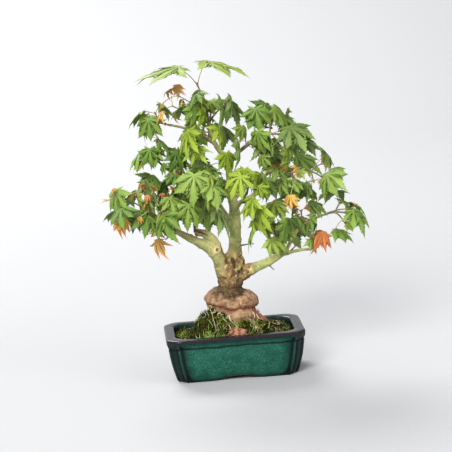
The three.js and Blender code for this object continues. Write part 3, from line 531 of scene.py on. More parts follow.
def make_soil_grid():
    """Rings from the bottom of the fill up the wall and in to the middle."""
    angle = np.linspace(0, 2 * np.pi, SOIL_COLUMNS, endpoint=False)
    wall_heights = [FLOOR + SOIL_GAP, 20.0, BAND - 2.2, BAND]
    walls = [np.column_stack([np.cos(angle), np.sin(angle), np.full(SOIL_COLUMNS, z)]) for z in wall_heights]
    for ring, z in zip(walls, wall_heights):
        ring[:, :2] *= hollow_reach(angle, z)[:, None]
    share = np.linspace(1, 0.004, SOIL_ROWS)[:, None] + 0 * angle
    reach = share * hollow_reach(angle, SOIL_EDGE)
    top = soil_top(reach * np.cos(angle), reach * np.sin(angle), share).reshape(-1, 3)
    cover = np.concatenate([np.zeros(4 * SOIL_COLUMNS), moss_cover(top)])
    return np.concatenate([*walls, top]), cover, 4 + SOIL_ROWS


def make_moss_finish():
    """Moss over soil: the soil is dark brown with pale grit, the moss nearly black to bright green. Their
    nearly black is partly painted shade deep among the moss.
    """
    finish = Finish("moss_and_soil", 0.95, IOR=1.15)
    # The moss's nearly black base and darkest olive are painted shade over its own dark colour.
    moss = finish.layers(
        (0.002, 0.002, 0.001),
        ((4, 0.4, 0.62), (0.018, 0.022, 0.002)),
        ((6, 0.54, 0.66, 9), (0.036, 0.066, 0.003)),
        ((0.9, 0.6, 0.74, 1), (0.11, 0.14, 0.012)),
        ((3.4, 0.58, 0.68, 6), (0.065, 0.036, 0.012)),
    )
    edge = finish.calculate("ADD", "moss", finish.calculate("MULTIPLY", (2.2, 0.2, 0.8), 0.5))
    grit = ((1.1, 0.58, 0.68, 4), (0.08, 0.06, 0.025))
    # The soil's nearly black base is painted shade over the soil's own dark brown.
    finish.paint((0.003, 0.002, 0.001), grit, (finish.eased(edge, 0.45, 0.85), moss))
    finish.emboss((0.8, 0.25, 0.75, 0, 1, 0.7), 0.5, 0.8)
    return finish


soil_points, soil_moss, soil_rows = make_soil_grid()
soil = make_piece(
    "mossy_soil",
    np.concatenate([soil_points, [[0, 0, FLOOR + SOIL_GAP], [0, 0, SOIL_CENTRE]]]),
    closed_faces(soil_rows, SOIL_COLUMNS),
    make_moss_finish(),
    {"moss": [*soil_moss, 0, 0]},
)
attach(soil, "root")
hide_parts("soil")


# Moss tufts and bits
# Short pointed moss leaves stand in their thousands on the heaps, with a few long blades of grass, bits
# of dead twig, white grit and pale fine roots that run from the trunk over the moss.
TUFT_COUNT, GRASS_COUNT, STICK_COUNT, GRIT_COUNT, THREAD_COUNT = 9000, 90, 260, 13, 16
THREAD_START, THREAD_HEIGHT = 24.5, 61.0
TRUNK_Y, TRUNK_DEPTH = 2.0, 0.9
# Bits lie within this share of the way to the wall.
LITTER_EDGE = 0.93


def many(points, rows, columns):
    """A batch of closed grids as one pair of points and faces."""
    offsets = np.arange(len(points))[:, None, None] * points.shape[1]
    return points.reshape(-1, 3), (closed_faces(rows, columns) + offsets).reshape(-1, 3)


def tubes(paths, radii, columns):
    """Round tubes as one pair of points and faces: a ring of points about each place of each path, square
    to it, and one more point in the middle of both ends. All may share one row of radii."""
    paths = np.reshape(paths, (-1, *np.shape(paths)[-2:]))
    along = unit(np.gradient(paths, axis=1))
    steady = np.eye(3)[np.abs(along).max(1).argmin(-1)][:, None, :]
    side = unit(np.cross(steady, along))
    over = np.cross(along, side)
    angle = np.arange(columns) / columns * 2 * np.pi
    ring = side[:, :, None] * np.cos(angle)[:, None] + over[:, :, None] * np.sin(angle)[:, None]
    reach = np.broadcast_to(radii, paths.shape[:2])[..., None, None]
    body = (paths[:, :, None] + ring * reach).reshape(len(paths), -1, 3)
    return many(np.concatenate([body, paths[:, :1], paths[:, -1:]], 1), paths.shape[1], columns)


def scatter_on_soil(count, draws, covered=True):
    """Random places on the soil inside the wall, more on the mossy parts: each with its own height."""
    angle = draws.uniform(0, 2 * np.pi, 4 * count)
    share = np.sqrt(draws.uniform(0.03, LITTER_EDGE, 4 * count))
    reach = share * hollow_reach(angle, SOIL_EDGE)
    top = soil_top(reach * np.cos(angle), reach * np.sin(angle), share)
    cover = moss_cover(top) if covered else np.ones(4 * count)
    chance = draws.uniform(0, 1, 4 * count) < cover**1.5
    return top[chance][:count]


def make_spikes(roots, ways, lengths, radii, bend, rows, columns):
    """Pointed spikes: tubes that leave their root in their own way, bend over and narrow to a point."""
    t = np.linspace(0, 1, rows)[None, :, None]
    paths = roots[:, None] + ways[:, None] * lengths[:, None, None] * t + bend[:, None] * t**2
    taper = radii[:, None] * (1.02 - t[..., 0] ** 1.3)
    return tubes(paths, taper, columns)


def random_ways(count, draws, spread):
    """Ways that lean at random from straight up."""
    lean = draws.normal(0, spread, (count, 3))
    lean[:, 2] = 1
    return unit(lean)


def make_tuft_finish():
    """Moss leaves: nearly black at the root, where shade is painted in, olive or bright green toward the
    tip.
    """
    finish = Finish("moss_tips", 0.85, IOR=1.2)
    olive = (0.02, 0.026, 0.002), ((2.5, 0.4, 0.62), (0.11, 0.135, 0.01))
    fresh = finish.layers(*olive, ("bright", (0.5, 0.61, 0.07)))
    # The nearly black root of each moss leaf is painted shade.
    finish.paint((0.002, 0.003, 0.001), (finish.calculate("POWER", "tip", 1.8), fresh))
    return finish


def add_bits(name, points_and_faces, finish, values=None):
    """Makes one piece of many small bits that stands in for part of the soil's solid."""
    piece = make_piece(name, *points_and_faces, finish, values)
    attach(piece, "root")
    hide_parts("soil")


def make_tufts(draws):
    """Moss leaves, every third of them a long broad sprig. Each has its own brightness, higher in some
    patches, and each point its share of the way to the tip. The dim tufts between the patches hold
    painted shade over the moss's own olive."""
    roots = scatter_on_soil(TUFT_COUNT, draws)
    count = len(roots)
    sprig = draws.uniform(0, 1, count) < 0.34
    ways = random_ways(count, draws, 0.6)
    lengths = np.where(sprig, draws.uniform(2.0, 4.6, count), draws.uniform(1.0, 2.4, count))
    radii = np.where(sprig, draws.uniform(0.30, 0.52, count), draws.uniform(0.2, 0.36, count))
    bend = draws.normal(0, 0.5, (count, 3)) * lengths[:, None] * 0.4
    # The dim tufts outside these patches stand partly for painted shade.
    patches = ease(rough(roots, 7, 41, 2), -0.05, 0.65)
    bright = patches * draws.uniform(0.2, 1.3, count)
    bright = np.clip(bright + (draws.uniform(0, 1, count) < 0.08) * 0.7, 0, 1)
    chance = np.random.default_rng(46).uniform(0, 1, count)
    kept = (rough(roots, 6, 45, 2) > -0.22) | (chance < 0.25)
    parts = [part[kept] for part in (roots - [0, 0, 0.5], ways, lengths, radii, bend)]
    tip = np.tile([0, 0, 0, 0.5, 0.5, 0.5, 1, 1, 1, 0, 1], kept.sum())
    return make_spikes(*parts, 3, 3), {"tip": tip, "bright": np.repeat(bright[kept], 11)}


def make_grass(draws):
    """Grass: most of it grows in a tuft in front, left of the middle, and up the heap."""
    roots = scatter_on_soil(GRASS_COUNT, draws)
    tuft = np.array([-24.0, -29.0, 0]) + draws.normal(0, 5.0, (len(roots), 3)) * [1.4, 0.5, 0]
    near = draws.uniform(0, 1, len(roots)) < 0.55
    reach = hollow_reach(np.arctan2(tuft[:, 1], tuft[:, 0]), SOIL_EDGE)
    far = np.hypot(tuft[:, 0], tuft[:, 1])
    share = np.minimum(far / reach, LITTER_EDGE)
    scaled = tuft * (share * reach / far)[:, None]
    roots = np.where(near[:, None], soil_top(scaled[:, 0], scaled[:, 1], share), roots)
    ways = random_ways(len(roots), draws, 0.35)
    lengths = draws.uniform(3.5, 10.0, len(roots))
    bend = draws.normal(0, 1.8, (len(roots), 3)) * [1, 1, 0.3] - [0, 0, 0.8]
    return make_spikes(roots - [0, 0, 0.5], ways, lengths, draws.uniform(0.22, 0.42, len(roots)), bend, 6, 4)


def make_sticks(draws):
    """Bits of dead twig and husk that lie about on the soil and moss."""
    roots = scatter_on_soil(STICK_COUNT, draws, covered=False) + [0, 0, 0.5]
    ways = unit(draws.normal(0, 1, (len(roots), 3)) * [1, 1, 0.35])
    lengths = draws.uniform(1.5, 5.5, len(roots))
    bend = draws.normal(0, 0.5, (len(roots), 3))
    return make_spikes(roots, ways, lengths, draws.uniform(0.22, 0.5, len(roots)), bend, 4, 4)


def make_grit(draws):
    """Round grains of white grit half sunk in the soil: spheres pressed a little flat."""
    places = scatter_on_soil(GRIT_COUNT, draws, covered=False)
    t = np.linspace(0, 1, 7)
    radii = draws.uniform(0.5, 1.3, len(places))
    paths = places[:, None] + np.stack([0 * t, 0 * t, 1 - np.cos(np.pi * t)], -1) * 0.7 * radii[:, None, None]
    rings = radii[:, None] * np.sin(np.pi * np.clip(t, 0.05, 0.95))
    return tubes(paths, rings, 8)


def make_threads(draws):
    """Pale roots: each leaves the trunk under its crease and runs down over the moss, wavering."""
    angle = np.radians(draws.uniform(-160, 8, THREAD_COUNT))
    length = draws.uniform(8, 17, (THREAD_COUNT, 1))
    t = np.linspace(0, 1, 24)
    drift, angle = draws.normal(0, 0.45, (THREAD_COUNT, 1)), angle[:, None]
    turn = angle + drift * t + 0.05 * np.sin(14 * t + angle * 9)
    out = THREAD_START + length * t
    x, y = out * np.cos(turn), TRUNK_Y + TRUNK_DEPTH * out * np.sin(turn)
    reach = hollow_reach(np.arctan2(y, x).ravel(), SOIL_EDGE).reshape(x.shape)
    share = np.clip(np.hypot(x, y) / reach, 0, LITTER_EDGE)
    top = soil_top(x, y, share)
    wood = THREAD_HEIGHT - 6 * draws.uniform(0, 1, (THREAD_COUNT, 1))
    top[..., 2] = np.maximum(top[..., 2] + 0.35, wood - 1.9 * length * t)
    radii = draws.uniform(0.28, 0.6, (THREAD_COUNT, 1)) * (1.0 - 0.6 * t)
    return tubes(top, radii, 6)


moss_draws = np.random.default_rng(77)
moss_tufts, tuft_values = make_tufts(moss_draws)
add_bits("moss_tufts", moss_tufts, make_tuft_finish(), tuft_values)
# The other bits: their piece, their maker, the name and dullness of their finish, its two colours and the
# size of its patches.
BITS = [
    ("grass_blades", make_grass, "grass_blade", 0.6, (0.12, 0.26, 0.03), (0.44, 0.56, 0.18), 6),
    ("dead_twigs", make_sticks, "dead_twig", 0.9, (0.09, 0.05, 0.025), (0.42, 0.33, 0.2), 3),
    ("white_grit", make_grit, "white_grit", 0.9, (0.45, 0.42, 0.36), (0.7, 0.68, 0.62), 1),
    ("fine_roots", make_threads, "fine_root", 0.8, (0.14, 0.08, 0.045), (0.52, 0.43, 0.3), 5),
]
for name, make_bits, skin, dull, deep, pale, size in BITS:
    finish = make_finish(skin, dull, deep, ((size, 0.35, 0.65), pale), IOR=1.3)
    add_bits(name, make_bits(moss_draws), finish)


# Pebble
# One crumbly lump of reddish-brown lava lies on the soil in front of the trunk.
PEBBLE_PLACE, PEBBLE_SIZE = np.array([2.3, -28.8, 44.2]), np.array([9.2, 3.6, 5.2])


def make_pebble_grid(rows=60, columns=110):
    """A sphere pulled to three sizes, broken into a few round crumbs and pitted."""
    polar = np.linspace(0.02, np.pi - 0.02, rows)[:, None]
    turn = np.linspace(0, 2 * np.pi, columns, endpoint=False)
    across, deep = np.sin(polar) * np.cos(turn), np.sin(polar) * np.sin(turn)
    ball = np.stack([across, deep, -np.cos(polar) + 0 * turn], -1)
    ball = np.concatenate([ball.reshape(-1, 3), [[0, 0, -1], [0, 0, 1]]])
    crumbs, pits = np.abs(lattice_noise(ball * [1.9, 1, 1.2], 0.55, 3)), rough(ball, 0.3, 6)
    reach = 0.8 + 0.44 * crumbs + 0.12 * pits
    return PEBBLE_PLACE + ball * PEBBLE_SIZE * reach[:, None], closed_faces(rows, columns)


def make_lava_finish():
    """Lava: dark reddish brown with lighter crumbs and a few pale grains."""
    crumbs, pale = ((2.5, 0.35, 0.65), (0.33, 0.16, 0.1)), ((1.4, 0.56, 0.68, 6), (0.5, 0.34, 0.22))
    finish = make_finish("lava_crumb", 0.95, (0.13, 0.045, 0.024), crumbs, pale, IOR=1.2)
    finish.emboss((0.7, 0.3, 0.7), 0.35)
    return finish


pebble = make_piece("lava_pebble", *make_pebble_grid(), make_lava_finish())
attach(pebble, "root")
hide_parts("pebble")


# Grafted trunk
# A stout trunk swollen like a bun where it was grafted, on a lower lobe and spreading roots, with a short
# neck of rough, pitted bark. The collars of the three main limbs grow out of its neck in one skin.
TRUNK_HEIGHTS = [36, 44, 49, 54, 60, 63.5, 69, 74.5, 79.2, 82.2, 88, 97, 104, 109, 113, 117]
TRUNK_MIDDLES = [1, 1, 0.5, 0, 0, 0, -0.5, -1, -1, -0.5, 0, 1, 2, 3, 4, 4]
TRUNK_RADII = [28, 27, 25.5, 23.2, 22.0, 24.0, 25.7, 24.6, 20.0, 13.8, 11.9, 12.4, 13.0, 11.6, 9, 6.5]
# Swellings: angle from the right, height, rise, angular width, height of the swelling.
SWELLINGS = [
    (-74, 58.3, 5.6, 24, 3.6),
    (-46, 57.5, 3.2, 9, 3.6),
    (-6, 46, 8, 13, 8),
    (-12, 57, 2.2, 12, 8),
    (-150, 46, 5, 20, 8),
    (160, 45, 4.5, 15, 6),
    (105, 45, 6, 18, 7),
    (45, 46, 5, 17, 8),
    (150, 70, 1.0, 30, 7),
    (-120, 70, 0.9, 30, 6),
]
# Pits in the bark of the neck: across, height, width and depth.
PITS = [
    (3.0, 111.5, 1.3, 1.8),
    (4.3, 108.6, 1.3, 2.0),
    (4.9, 105.9, 0.9, 1.4),
    (4.5, 103.8, 1.0, 1.5),
    (11.6, 101.2, 1.2, 1.6),
    (8.2, 98.6, 1.4, 1.3),
    (-3.2, 106.5, 0.9, 0.8),
    (-2.0, 100.0, 0.8, 0.8),
    (1.0, 95.5, 1.0, 0.7),
    (14.0, 107.0, 0.9, 1.0),
]
LIMBS = {
    "leader": (
        [[5.5, 2, 110], [7.8, 2, 133], [8.6, 3, 156], [6, 3, 179], [6, 2, 204]],
        (6.6, 5.6, 5.1, 3.4, 2.9),
    ),
    "left_bough": (
        [[-5, -1, 97], [-10, -5, 114], [-20, -9, 126], [-31, -12, 133]]
        + [[-42, -15, 140], [-54, -18, 149], [-66, -20, 160]],
        (7.2, 6.6, 5.4, 3.9, 3.3, 2.6, 2.0),
    ),
    "left_stub": ([[-10, -5, 118], [-14, -7, 131], [-22, -9, 139], [-31, -9, 141]], (5.0, 4.4, 3.7, 3.0)),
    "right_bough": ([[9, 0, 95], [26, -4, 102], [38, -8, 107], [49, -10, 113], [56, -12, 119]], (5.6, 2.4)),
    "leader_top": ([[6, 2, 204], [-2, 0, 215], [-7, 0, 225], [-10, 0, 238], [-11, 0, 250]], (2.5, 1.3)),
    "upper_right_bough": ([[6, 2, 204], [18, 4, 214], [31, 6, 222], [44, 6, 228]], (2.3, 1.4)),
    "right_low_twig": ([[48, -10, 112], [64, -12, 116], [80, -14, 117]], (1.9, 1.2)),
    "right_rising_twig": ([[55, -12, 118], [65, -8, 133], [79, -6, 143], [94, -6, 148]], (1.9, 1.2)),
    "middle_right_bough": ([[6, 3, 160], [37, 12, 173], [58, 14, 183], [75, 12, 192]], (2.3, 1.3)),
    "middle_left_bough": ([[6, 3, 176], [-15, 8, 186], [-37, 10, 193], [-54, 8, 201]], (2.3, 1.3)),
    "upper_left_twig": ([[-7, 0, 223], [-20, -2, 233], [-36, -4, 241], [-51, -4, 245]], (1.6, 1.1)),
    "front_twig": ([[6, 3, 152], [12, -20, 166], [18, -36, 178]], (1.9, 1.2)),
    "front_left_twig": ([[5, 2, 148], [-8, -14, 168], [-20, -24, 180]], (1.7, 1.1)),
    "back_low_bough": ([[4, 2, 138], [0, 18, 152], [-4, 32, 160], [-6, 42, 164]], (2.6, 1.4)),
    "back_right_bough": ([[6, 3, 166], [26, 22, 178], [46, 34, 186]], (2.2, 1.3)),
    "back_left_bough": ([[-46, -16, 142], [-56, 2, 154], [-62, 22, 164]], (2.2, 1.3)),
    "back_high_bough": ([[6, 2, 196], [4, 16, 208], [-2, 28, 216]], (2.1, 1.2)),
}
TRUNK_GRAIN = 0.6
# How often the points of a skin move towards their neighbours: near its joints, then everywhere.
JOINT_ROUNDS, SKIN_ROUNDS = 28, 2


def flow(knots, values, at):
    """A smooth curve through given values: cubic pieces whose slope at each is that of its neighbours."""
    knots, values = np.asarray(knots, float), np.asarray(values, float)
    slope = np.gradient(values, knots)
    i = np.clip(np.searchsorted(knots, at) - 1, 0, len(knots) - 2)
    span = knots[i + 1] - knots[i]
    t = (at - knots[i]) / span
    rise = (2 * t**3 - 3 * t**2 + 1) * values[i] + (3 * t**2 - 2 * t**3) * values[i + 1]
    return rise + span * ((t**3 - 2 * t**2 + t) * slope[i] + (t**3 - t**2) * slope[i + 1])


def limb_path(name, shares):
    """Places along a limb: a uniform Catmull-Rom curve through its points, whose ends are drawn out."""
    places = np.asarray(LIMBS[name][0], float)
    knots = np.concatenate([[2 * places[0] - places[1]], places, [2 * places[-1] - places[-2]]])
    at = np.asarray(shares, float) * (len(places) - 1)
    i = np.clip(at.astype(int), 0, len(places) - 2)
    t = (at - i)[:, None]
    before, start, end, after = knots[i], knots[i + 1], knots[i + 2], knots[i + 3]
    bend = (2 * before - 5 * start + 4 * end - after) * t**2 + (3 * start - before - 3 * end + after) * t**3
    return 0.5 * (2 * start + (end - before) * t + bend)


def limb_radii(name, shares):
    """A limb's half width at shares of its length: its given values, evenly spaced along it."""
    radii = LIMBS[name][1]
    return np.interp(shares, np.linspace(0, 1, len(radii)), radii)


def join_parts(parts):
    """Joins (points, faces) pairs into one pair."""
    offsets = np.cumsum([0] + [len(points) for points, _ in parts[:-1]])
    faces = [faces + offset for (_, faces), offset in zip(parts, offsets)]
    return np.concatenate([points for points, _ in parts]), np.concatenate(faces)


def crease_height(angle):
    """The height of the crease under the bun all round: lowest on the right, highest on the left."""
    turn = np.radians(angle)
    wave = 0.9 * np.sin(5 * turn) + 0.5 * np.sin(9 * turn + 1)
    return 64.8 + 4.0 * ease(-np.cos(turn), 0.1, 0.95) - 1.6 * ease(np.cos(turn), 0.3, 1) + 0.6 * wave


def facing(angle, toward, width):
    """A bell curve over angles in degrees: 1 where the wood faces one way, falling off over a width."""
    return bell((angle - toward + 180) % 360 - 180, 0, width)


def trunk_surface(rows=170, columns=200):
    """The trunk alone: its half width at each height, wider on its swellings and notched by the crease
    under the bun. In front the bun's top edge lies lower, and a hollow runs between it and the neck."""
    height = np.linspace(TRUNK_HEIGHTS[0], TRUNK_HEIGHTS[-1], rows)[:, None]
    angle = np.arange(columns) / columns * 360.0
    front, left, right = facing(angle, -90, 62), facing(angle, -180, 45), facing(angle, 0, 55)
    lowered = height + (1.6 * front - 1.2 * left + 1.8 * right) * bell(height, 79, 6.5)
    radius = flow(TRUNK_HEIGHTS, TRUNK_RADII, np.clip(lowered, TRUNK_HEIGHTS[0], TRUNK_HEIGHTS[-1]))
    for turn, level, rise, width, tall in SWELLINGS:
        radius = radius + rise * facing(angle, turn, width) * bell(height, level, tall)
    crease = crease_height(angle)
    under = bell(height, crease, 1.5) + 0.35 * bell(height, crease - 2.0, 2.4)
    radius = radius - 2.6 * under * (0.35 + 0.65 * facing(angle, -80, 80))
    radius = radius - 1.6 * bell(lowered, 83.6, 1.7)
    radius = radius + 0.9 * np.sin(np.radians(3 * angle + 40)) * bell(height, 72, 9)
    turn = np.radians(angle)
    middle = flow(TRUNK_HEIGHTS, TRUNK_MIDDLES, height)
    across, deep = middle + radius * np.cos(turn), TRUNK_Y + TRUNK_DEPTH * radius * np.sin(turn)
    points = np.stack([across, deep, height + 0 * turn], -1)
    foot = [TRUNK_MIDDLES[0], TRUNK_Y, TRUNK_HEIGHTS[0]]
    ends = [foot, [TRUNK_MIDDLES[-1], TRUNK_Y, TRUNK_HEIGHTS[-1] + 1.0]]
    return np.concatenate([points.reshape(-1, 3), ends]), closed_faces(rows, columns)


def collar(name, end, swell, columns=48, rows=40):
    """The root of a limb as part of the trunk's skin: wider than the limb at its start, and narrowing
    until it slips under the limb's own skin."""
    shares = np.linspace(0, end, rows)
    radii = limb_radii(name, shares) + swell * (1 - ease(shares, 0, 0.75 * end))
    radii = radii - 0.9 * ease(shares, 0.8 * end, end)
    return tubes(limb_path(name, shares), radii, columns)


def relax(points, edges, share, rounds):
    """Moves each point towards the mean of its neighbours by its own share, over and over."""
    count = np.bincount(edges.ravel(), minlength=len(points))[:, None]
    for _ in range(rounds):
        total = [
            np.bincount(edges[:, 0], points[edges[:, 1], k], len(points))
            + np.bincount(edges[:, 1], points[edges[:, 0], k], len(points))
            for k in range(3)
        ]
        points = points + share[:, None] * (np.stack(total, -1) / count - points)
    return points


def read_places(part, key, kind, size):
    """One number array of a mesh, such as the places of its points or the ends of its edges."""
    values = np.empty(len(part) * size, kind)
    part.foreach_get(key, values)
    return values.reshape(-1, size)


def merge_skin(piece, grain):
    """Melts the overlapping tubes of a piece into one closed skin with points a grain apart."""
    melt = piece.modifiers.new("melt", "REMESH")
    melt.mode = "VOXEL"
    melt.voxel_size = grain * MILLIMETRE
    melt.use_smooth_shade = True
    bpy.context.view_layer.objects.active = piece
    bpy.ops.object.modifier_apply(modifier=melt.name)


def carve_skin(piece, joints, shape, grain):
    """Melts a piece into one skin, softens it at its joints, and moves each point along its normal by
    the shape's relief, whose masks stay on the points for the material."""
    merge_skin(piece, grain)
    mesh = piece.data
    points = read_places(mesh.vertices, "co", np.float32, 3) / MILLIMETRE + CROWN_MIDDLE
    edges = read_places(mesh.edges, "vertices", np.int32, 2)
    near = np.zeros(len(points))
    for x, y, z, reach in joints:
        near = np.maximum(near, 1 - ease(np.linalg.norm(points - [x, y, z], axis=1), 0.6 * reach, reach))
    points = relax(points, edges, 0.5 * near, JOINT_ROUNDS)
    points = relax(points, edges, np.full(len(points), 0.5), SKIN_ROUNDS)
    put_points(mesh, points)
    mesh.update()
    normals = read_places(mesh.vertices, "normal", np.float32, 3)
    relief, masks = shape(points, normals)
    points = points + normals * relief[:, None]
    put_points(mesh, points)
    mesh.update()
    give_values(mesh, masks)


def wander(points, size, seed):
    """A smooth random shift for each point: three numbers between -1 and 1."""
    return np.stack([lattice_noise(points, size, seed + k) for k in range(3)], -1)


def flaky(points, size, seed, upright=2.2):
    """Bark plates: high in the middle of irregular upright cells and cut deep between them."""
    bent = points + 0.5 * size * wander(points, size, seed + 7)
    ridge = 1 - np.abs(lattice_noise(bent / [1, 1, upright], size, seed)) * 2.2
    fine = 1 - np.abs(lattice_noise(bent / [1, 1, upright], 0.45 * size, seed + 3)) * 2.2
    return np.clip(1 - ridge, 0, 1) * 0.7 + np.clip(1 - fine, 0, 1) * 0.3


def pit_marks(points):
    """How deep each point lies in the pits on the front of the wood, in millimetres."""
    depth = np.zeros(len(points))
    for across, height, width, deep in PITS:
        apart = np.hypot(points[:, 0] - across, (points[:, 2] - height) * 0.7)
        depth = np.maximum(depth, deep * bell(apart, 0, width))
    return depth * ease(-points[:, 1], -4, 3)


def young_bark(points):
    """How far each point of the trunk's skin belongs to a limb, from 0 to 1."""
    x, _, z = points.T
    limb = ease(z, 112, 124) + ease(np.abs(x - 2), 15, 24) * ease(z, 88, 94)
    edge = 1.8 * lattice_noise(points, 4, 74)
    return np.clip(limb + 0.8 * ease(-x + edge, 4, 8) * ease(z + edge, 94, 103), 0, 1)


def bun_folds(points):
    """The bun's faint rings and wrinkles, then its slow swellings, in millimetres."""
    x, _, z = points.T
    rings = 0.20 * np.sin(1.7 * np.hypot(x - 3, 1.5 * (z - 70)) + 1.6 * lattice_noise(points, 7, 60))
    lines = 0.16 * np.sin(2.6 * z + 3.0 * lattice_noise(points, 11, 61))
    return rings + lines, 1.3 * lattice_noise(points * [1, 1, 1.5], 10, 62) + 0.30 * rough(points, 3, 63)


def root_fibres(turn, height):
    """The fibres that run down the roots, in millimetres, and the mask of their strands."""
    places = np.stack([np.radians(turn) * 26, 0 * height, height / 9.0], -1)
    strands = np.abs(lattice_noise(places, 2.6, 64))
    return 0.9 * strands + 0.4 * lattice_noise(places, 1.1, 65) - 0.2, strands


def red_brown_and_root_shade(points, turn):
    """Where the wood is red-brown: in patches along the crease, and low on the right, where the right
    root's own dark brown is deepened by painted shade.
    """
    height = points[:, 2]
    patches = ease(0.55 * lattice_noise(points, 6, 67) + 0.75, 0.3, 0.8)
    # Painted shade on the right root, over its own dark red-brown.
    right = facing(turn, -8, 26) * (1 - ease(height, 62, 71))
    return np.clip(bell(height, crease_height(turn) - 0.3, 2.6) * patches + right, 0, 1)


def trunk_relief(points, normals):
    """The trunk's relief and masks: deep flakes and pits on the neck and the bun's top, faint rings and
    wrinkles on the bun, fibres down the roots, and brown patches in the crease. The masks also paint
    shade into the pits, the cracks between flakes, the hollow above the bun, the neck's base, the low
    parts of the bun's folds and the right root."""
    x, y, z = points.T
    deep = (y - TRUNK_Y) / TRUNK_DEPTH
    turn, out = np.degrees(np.arctan2(deep, x)), np.hypot(x, deep)
    top_edge = 81.4 - 4.4 * facing(turn, -90, 62) + 2.2 * lattice_noise(points, 5, 41)
    neck, root, limb = ease(z, top_edge - 1.5, top_edge + 1.5), 1 - ease(z, 56, 66), young_bark(points)
    bark, bun = neck * (1 - limb), (1 - neck) * (1 - root)
    flakes, pits = flaky(points, 5.2, 50, 2.0), pit_marks(points)
    plates = bark * (1.5 * flakes - 0.55 + 0.3 * rough(points, 2.2, 52))
    plates = plates + bark * ease(out, 13, 18) * 0.55 * (flaky(points, 3.6, 55, 0.8) - 0.3)
    folds, swell = bun_folds(points)
    fibres, strands = root_fibres(turn, z)
    relief = plates - pits + bun * (folds + swell) + root * fibres + 0.25 * limb * rough(points, 5, 66)
    # Painted shadow in the hollow between the bun's top edge and the neck.
    hollow = bell(z, top_edge + 0.8, 2.2) * ease(0.6 * lattice_noise(points, 4, 68) + 0.7, 0.2, 0.8)
    masks = {
        "rough_bark": bark,
        # Painted shade in the pits, in the cracks between the bark's flakes and in the hollow above the bun.
        "deep": np.clip(pits / 1.1 + bark * (1 - 1.6 * flakes) * 0.7 + 0.75 * hollow, 0, 1),
        # Red-brown in the crease, and painted shade on the right root.
        "brown": red_brown_and_root_shade(points, turn),
        "root": root,
        "young_bark": limb,
        # Painted shade: darker umber bark at the neck's base, just above the bun.
        "apron": bark * (1 - ease(z + 0.9 * lattice_noise(points, 5, 69), 84, 96)),
        # Painted shade where the bun's folds and swellings lie low.
        "folds": np.clip(0.5 - 1.4 * (folds + 0.4 * swell), 0, 1) * bun,
        "strands": np.clip(strands * 1.6, 0, 1),
    }
    return relief, masks


def make_trunk_bark():
    """Bark: tan and pinkish callus on the bun, ochre and umber flakes on the neck, red-brown in the crease,
    and olive where the limbs begin. Shade is painted in: nearly black in the pits, the cracks and the
    hollow above the bun, darker umber at the neck's base, darker in the low parts of the bun's folds, and
    red-brown on the right root."""
    bark = Finish("trunk_bark", 0.85, IOR=1.25)
    callus = bark.layers(
        (0.165, 0.088, 0.046),
        ((9, 0.38, 0.62), (0.375, 0.235, 0.13)),
        ((2.6, 0.54, 0.74, 3), (0.45, 0.3, 0.18)),
        ((4.5, 0.53, 0.66, 8), (0.12, 0.052, 0.03)),
        ((1.6, 0.52, 0.62, 12, 3), (0.11, 0.055, 0.032), 0.5),
        # Painted shade in the low parts of the bun's folds.
        ("folds", (0.1, 0.055, 0.034), 0.45),
    )
    umber = bark.layers((0.052, 0.032, 0.015), ((1.8, 0.45, 0.68, 9), (0.175, 0.112, 0.052)))
    flake = bark.layers(
        (0.105, 0.058, 0.025),
        ((4.6, 0.36, 0.64, 0, 0.5), (0.255, 0.165, 0.07)),
        ((2.4, 0.55, 0.68, 5, 0.6), (0.355, 0.24, 0.112)),
        ((6.5, 0.54, 0.66, 7), (0.26, 0.25, 0.075)),
        # Painted shade at the neck's base, in darker umber.
        ("apron", umber, 0.85),
    )
    olive = bark.layers((0.155, 0.158, 0.054), ((6, 0.35, 0.65, 2), (0.275, 0.272, 0.11)))
    earth = bark.layers((0.3, 0.2, 0.12), ("strands", (0.06, 0.028, 0.014)))
    red = bark.layers((0.105, 0.032, 0.018), ((1.6, 0.4, 0.7, 4), (0.27, 0.115, 0.07)))
    # The last of these coats is red-brown in the crease and painted shade on the right root.
    tops = ("rough_bark", flake), ("young_bark", olive), ("root", earth, 0.6), ("brown", red, 0.85)
    # Nearly black painted shade in the pits, the cracks and the hollow above the bun.
    bark.paint(callus, *tops, ("deep", (0.022, 0.013, 0.007), 0.9))
    bark.emboss((0.9, 0.25, 0.75, 0, 1, 0.7), 0.25, 0.6)
    return bark


# Where limbs leave the neck, and how far round each place the skin is softened.
TRUNK_JOINTS = [(3, 2, 112, 13), (-8, -3, 106, 12), (15, -1, 98, 11), (-13, -6, 122, 8)]
trunk_parts = [
    trunk_surface(),
    collar("leader", 0.22, 1.2),
    collar("left_bough", 0.30, 1.0),
    collar("left_stub", 0.35, 0.4),
    collar("right_bough", 0.34, 1.2),
]
trunk = make_piece("grafted_trunk", *join_parts(trunk_parts), make_trunk_bark())
carve_skin(trunk, TRUNK_JOINTS, trunk_relief, TRUNK_GRAIN)
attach(trunk, "root")
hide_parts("trunk")


# Boughs
# Tapering limbs with smooth olive bark, with painted light on the sides that face up and to the right,
# and bud rings every few centimetres. Each grows out of the trunk or of another limb, and all share one
# skin.
# Knobs: across, height, width and rise.
KNOBS = [(-11.2, 122.6, 3.4, 0.9), (14.2, 114.0, 2.6, 1.1), (-16.5, 133.0, 3.0, 0.8), (13.8, 121.5, 1.8, 0.6)]
SCAR_ACROSS, SCAR_HEIGHT = -11.2, 122.6
BOUGH_GRAIN, LIMB_STEP, RING_SPACING, RING_SWELL = 0.55, 0.8, 13.0, 0.13


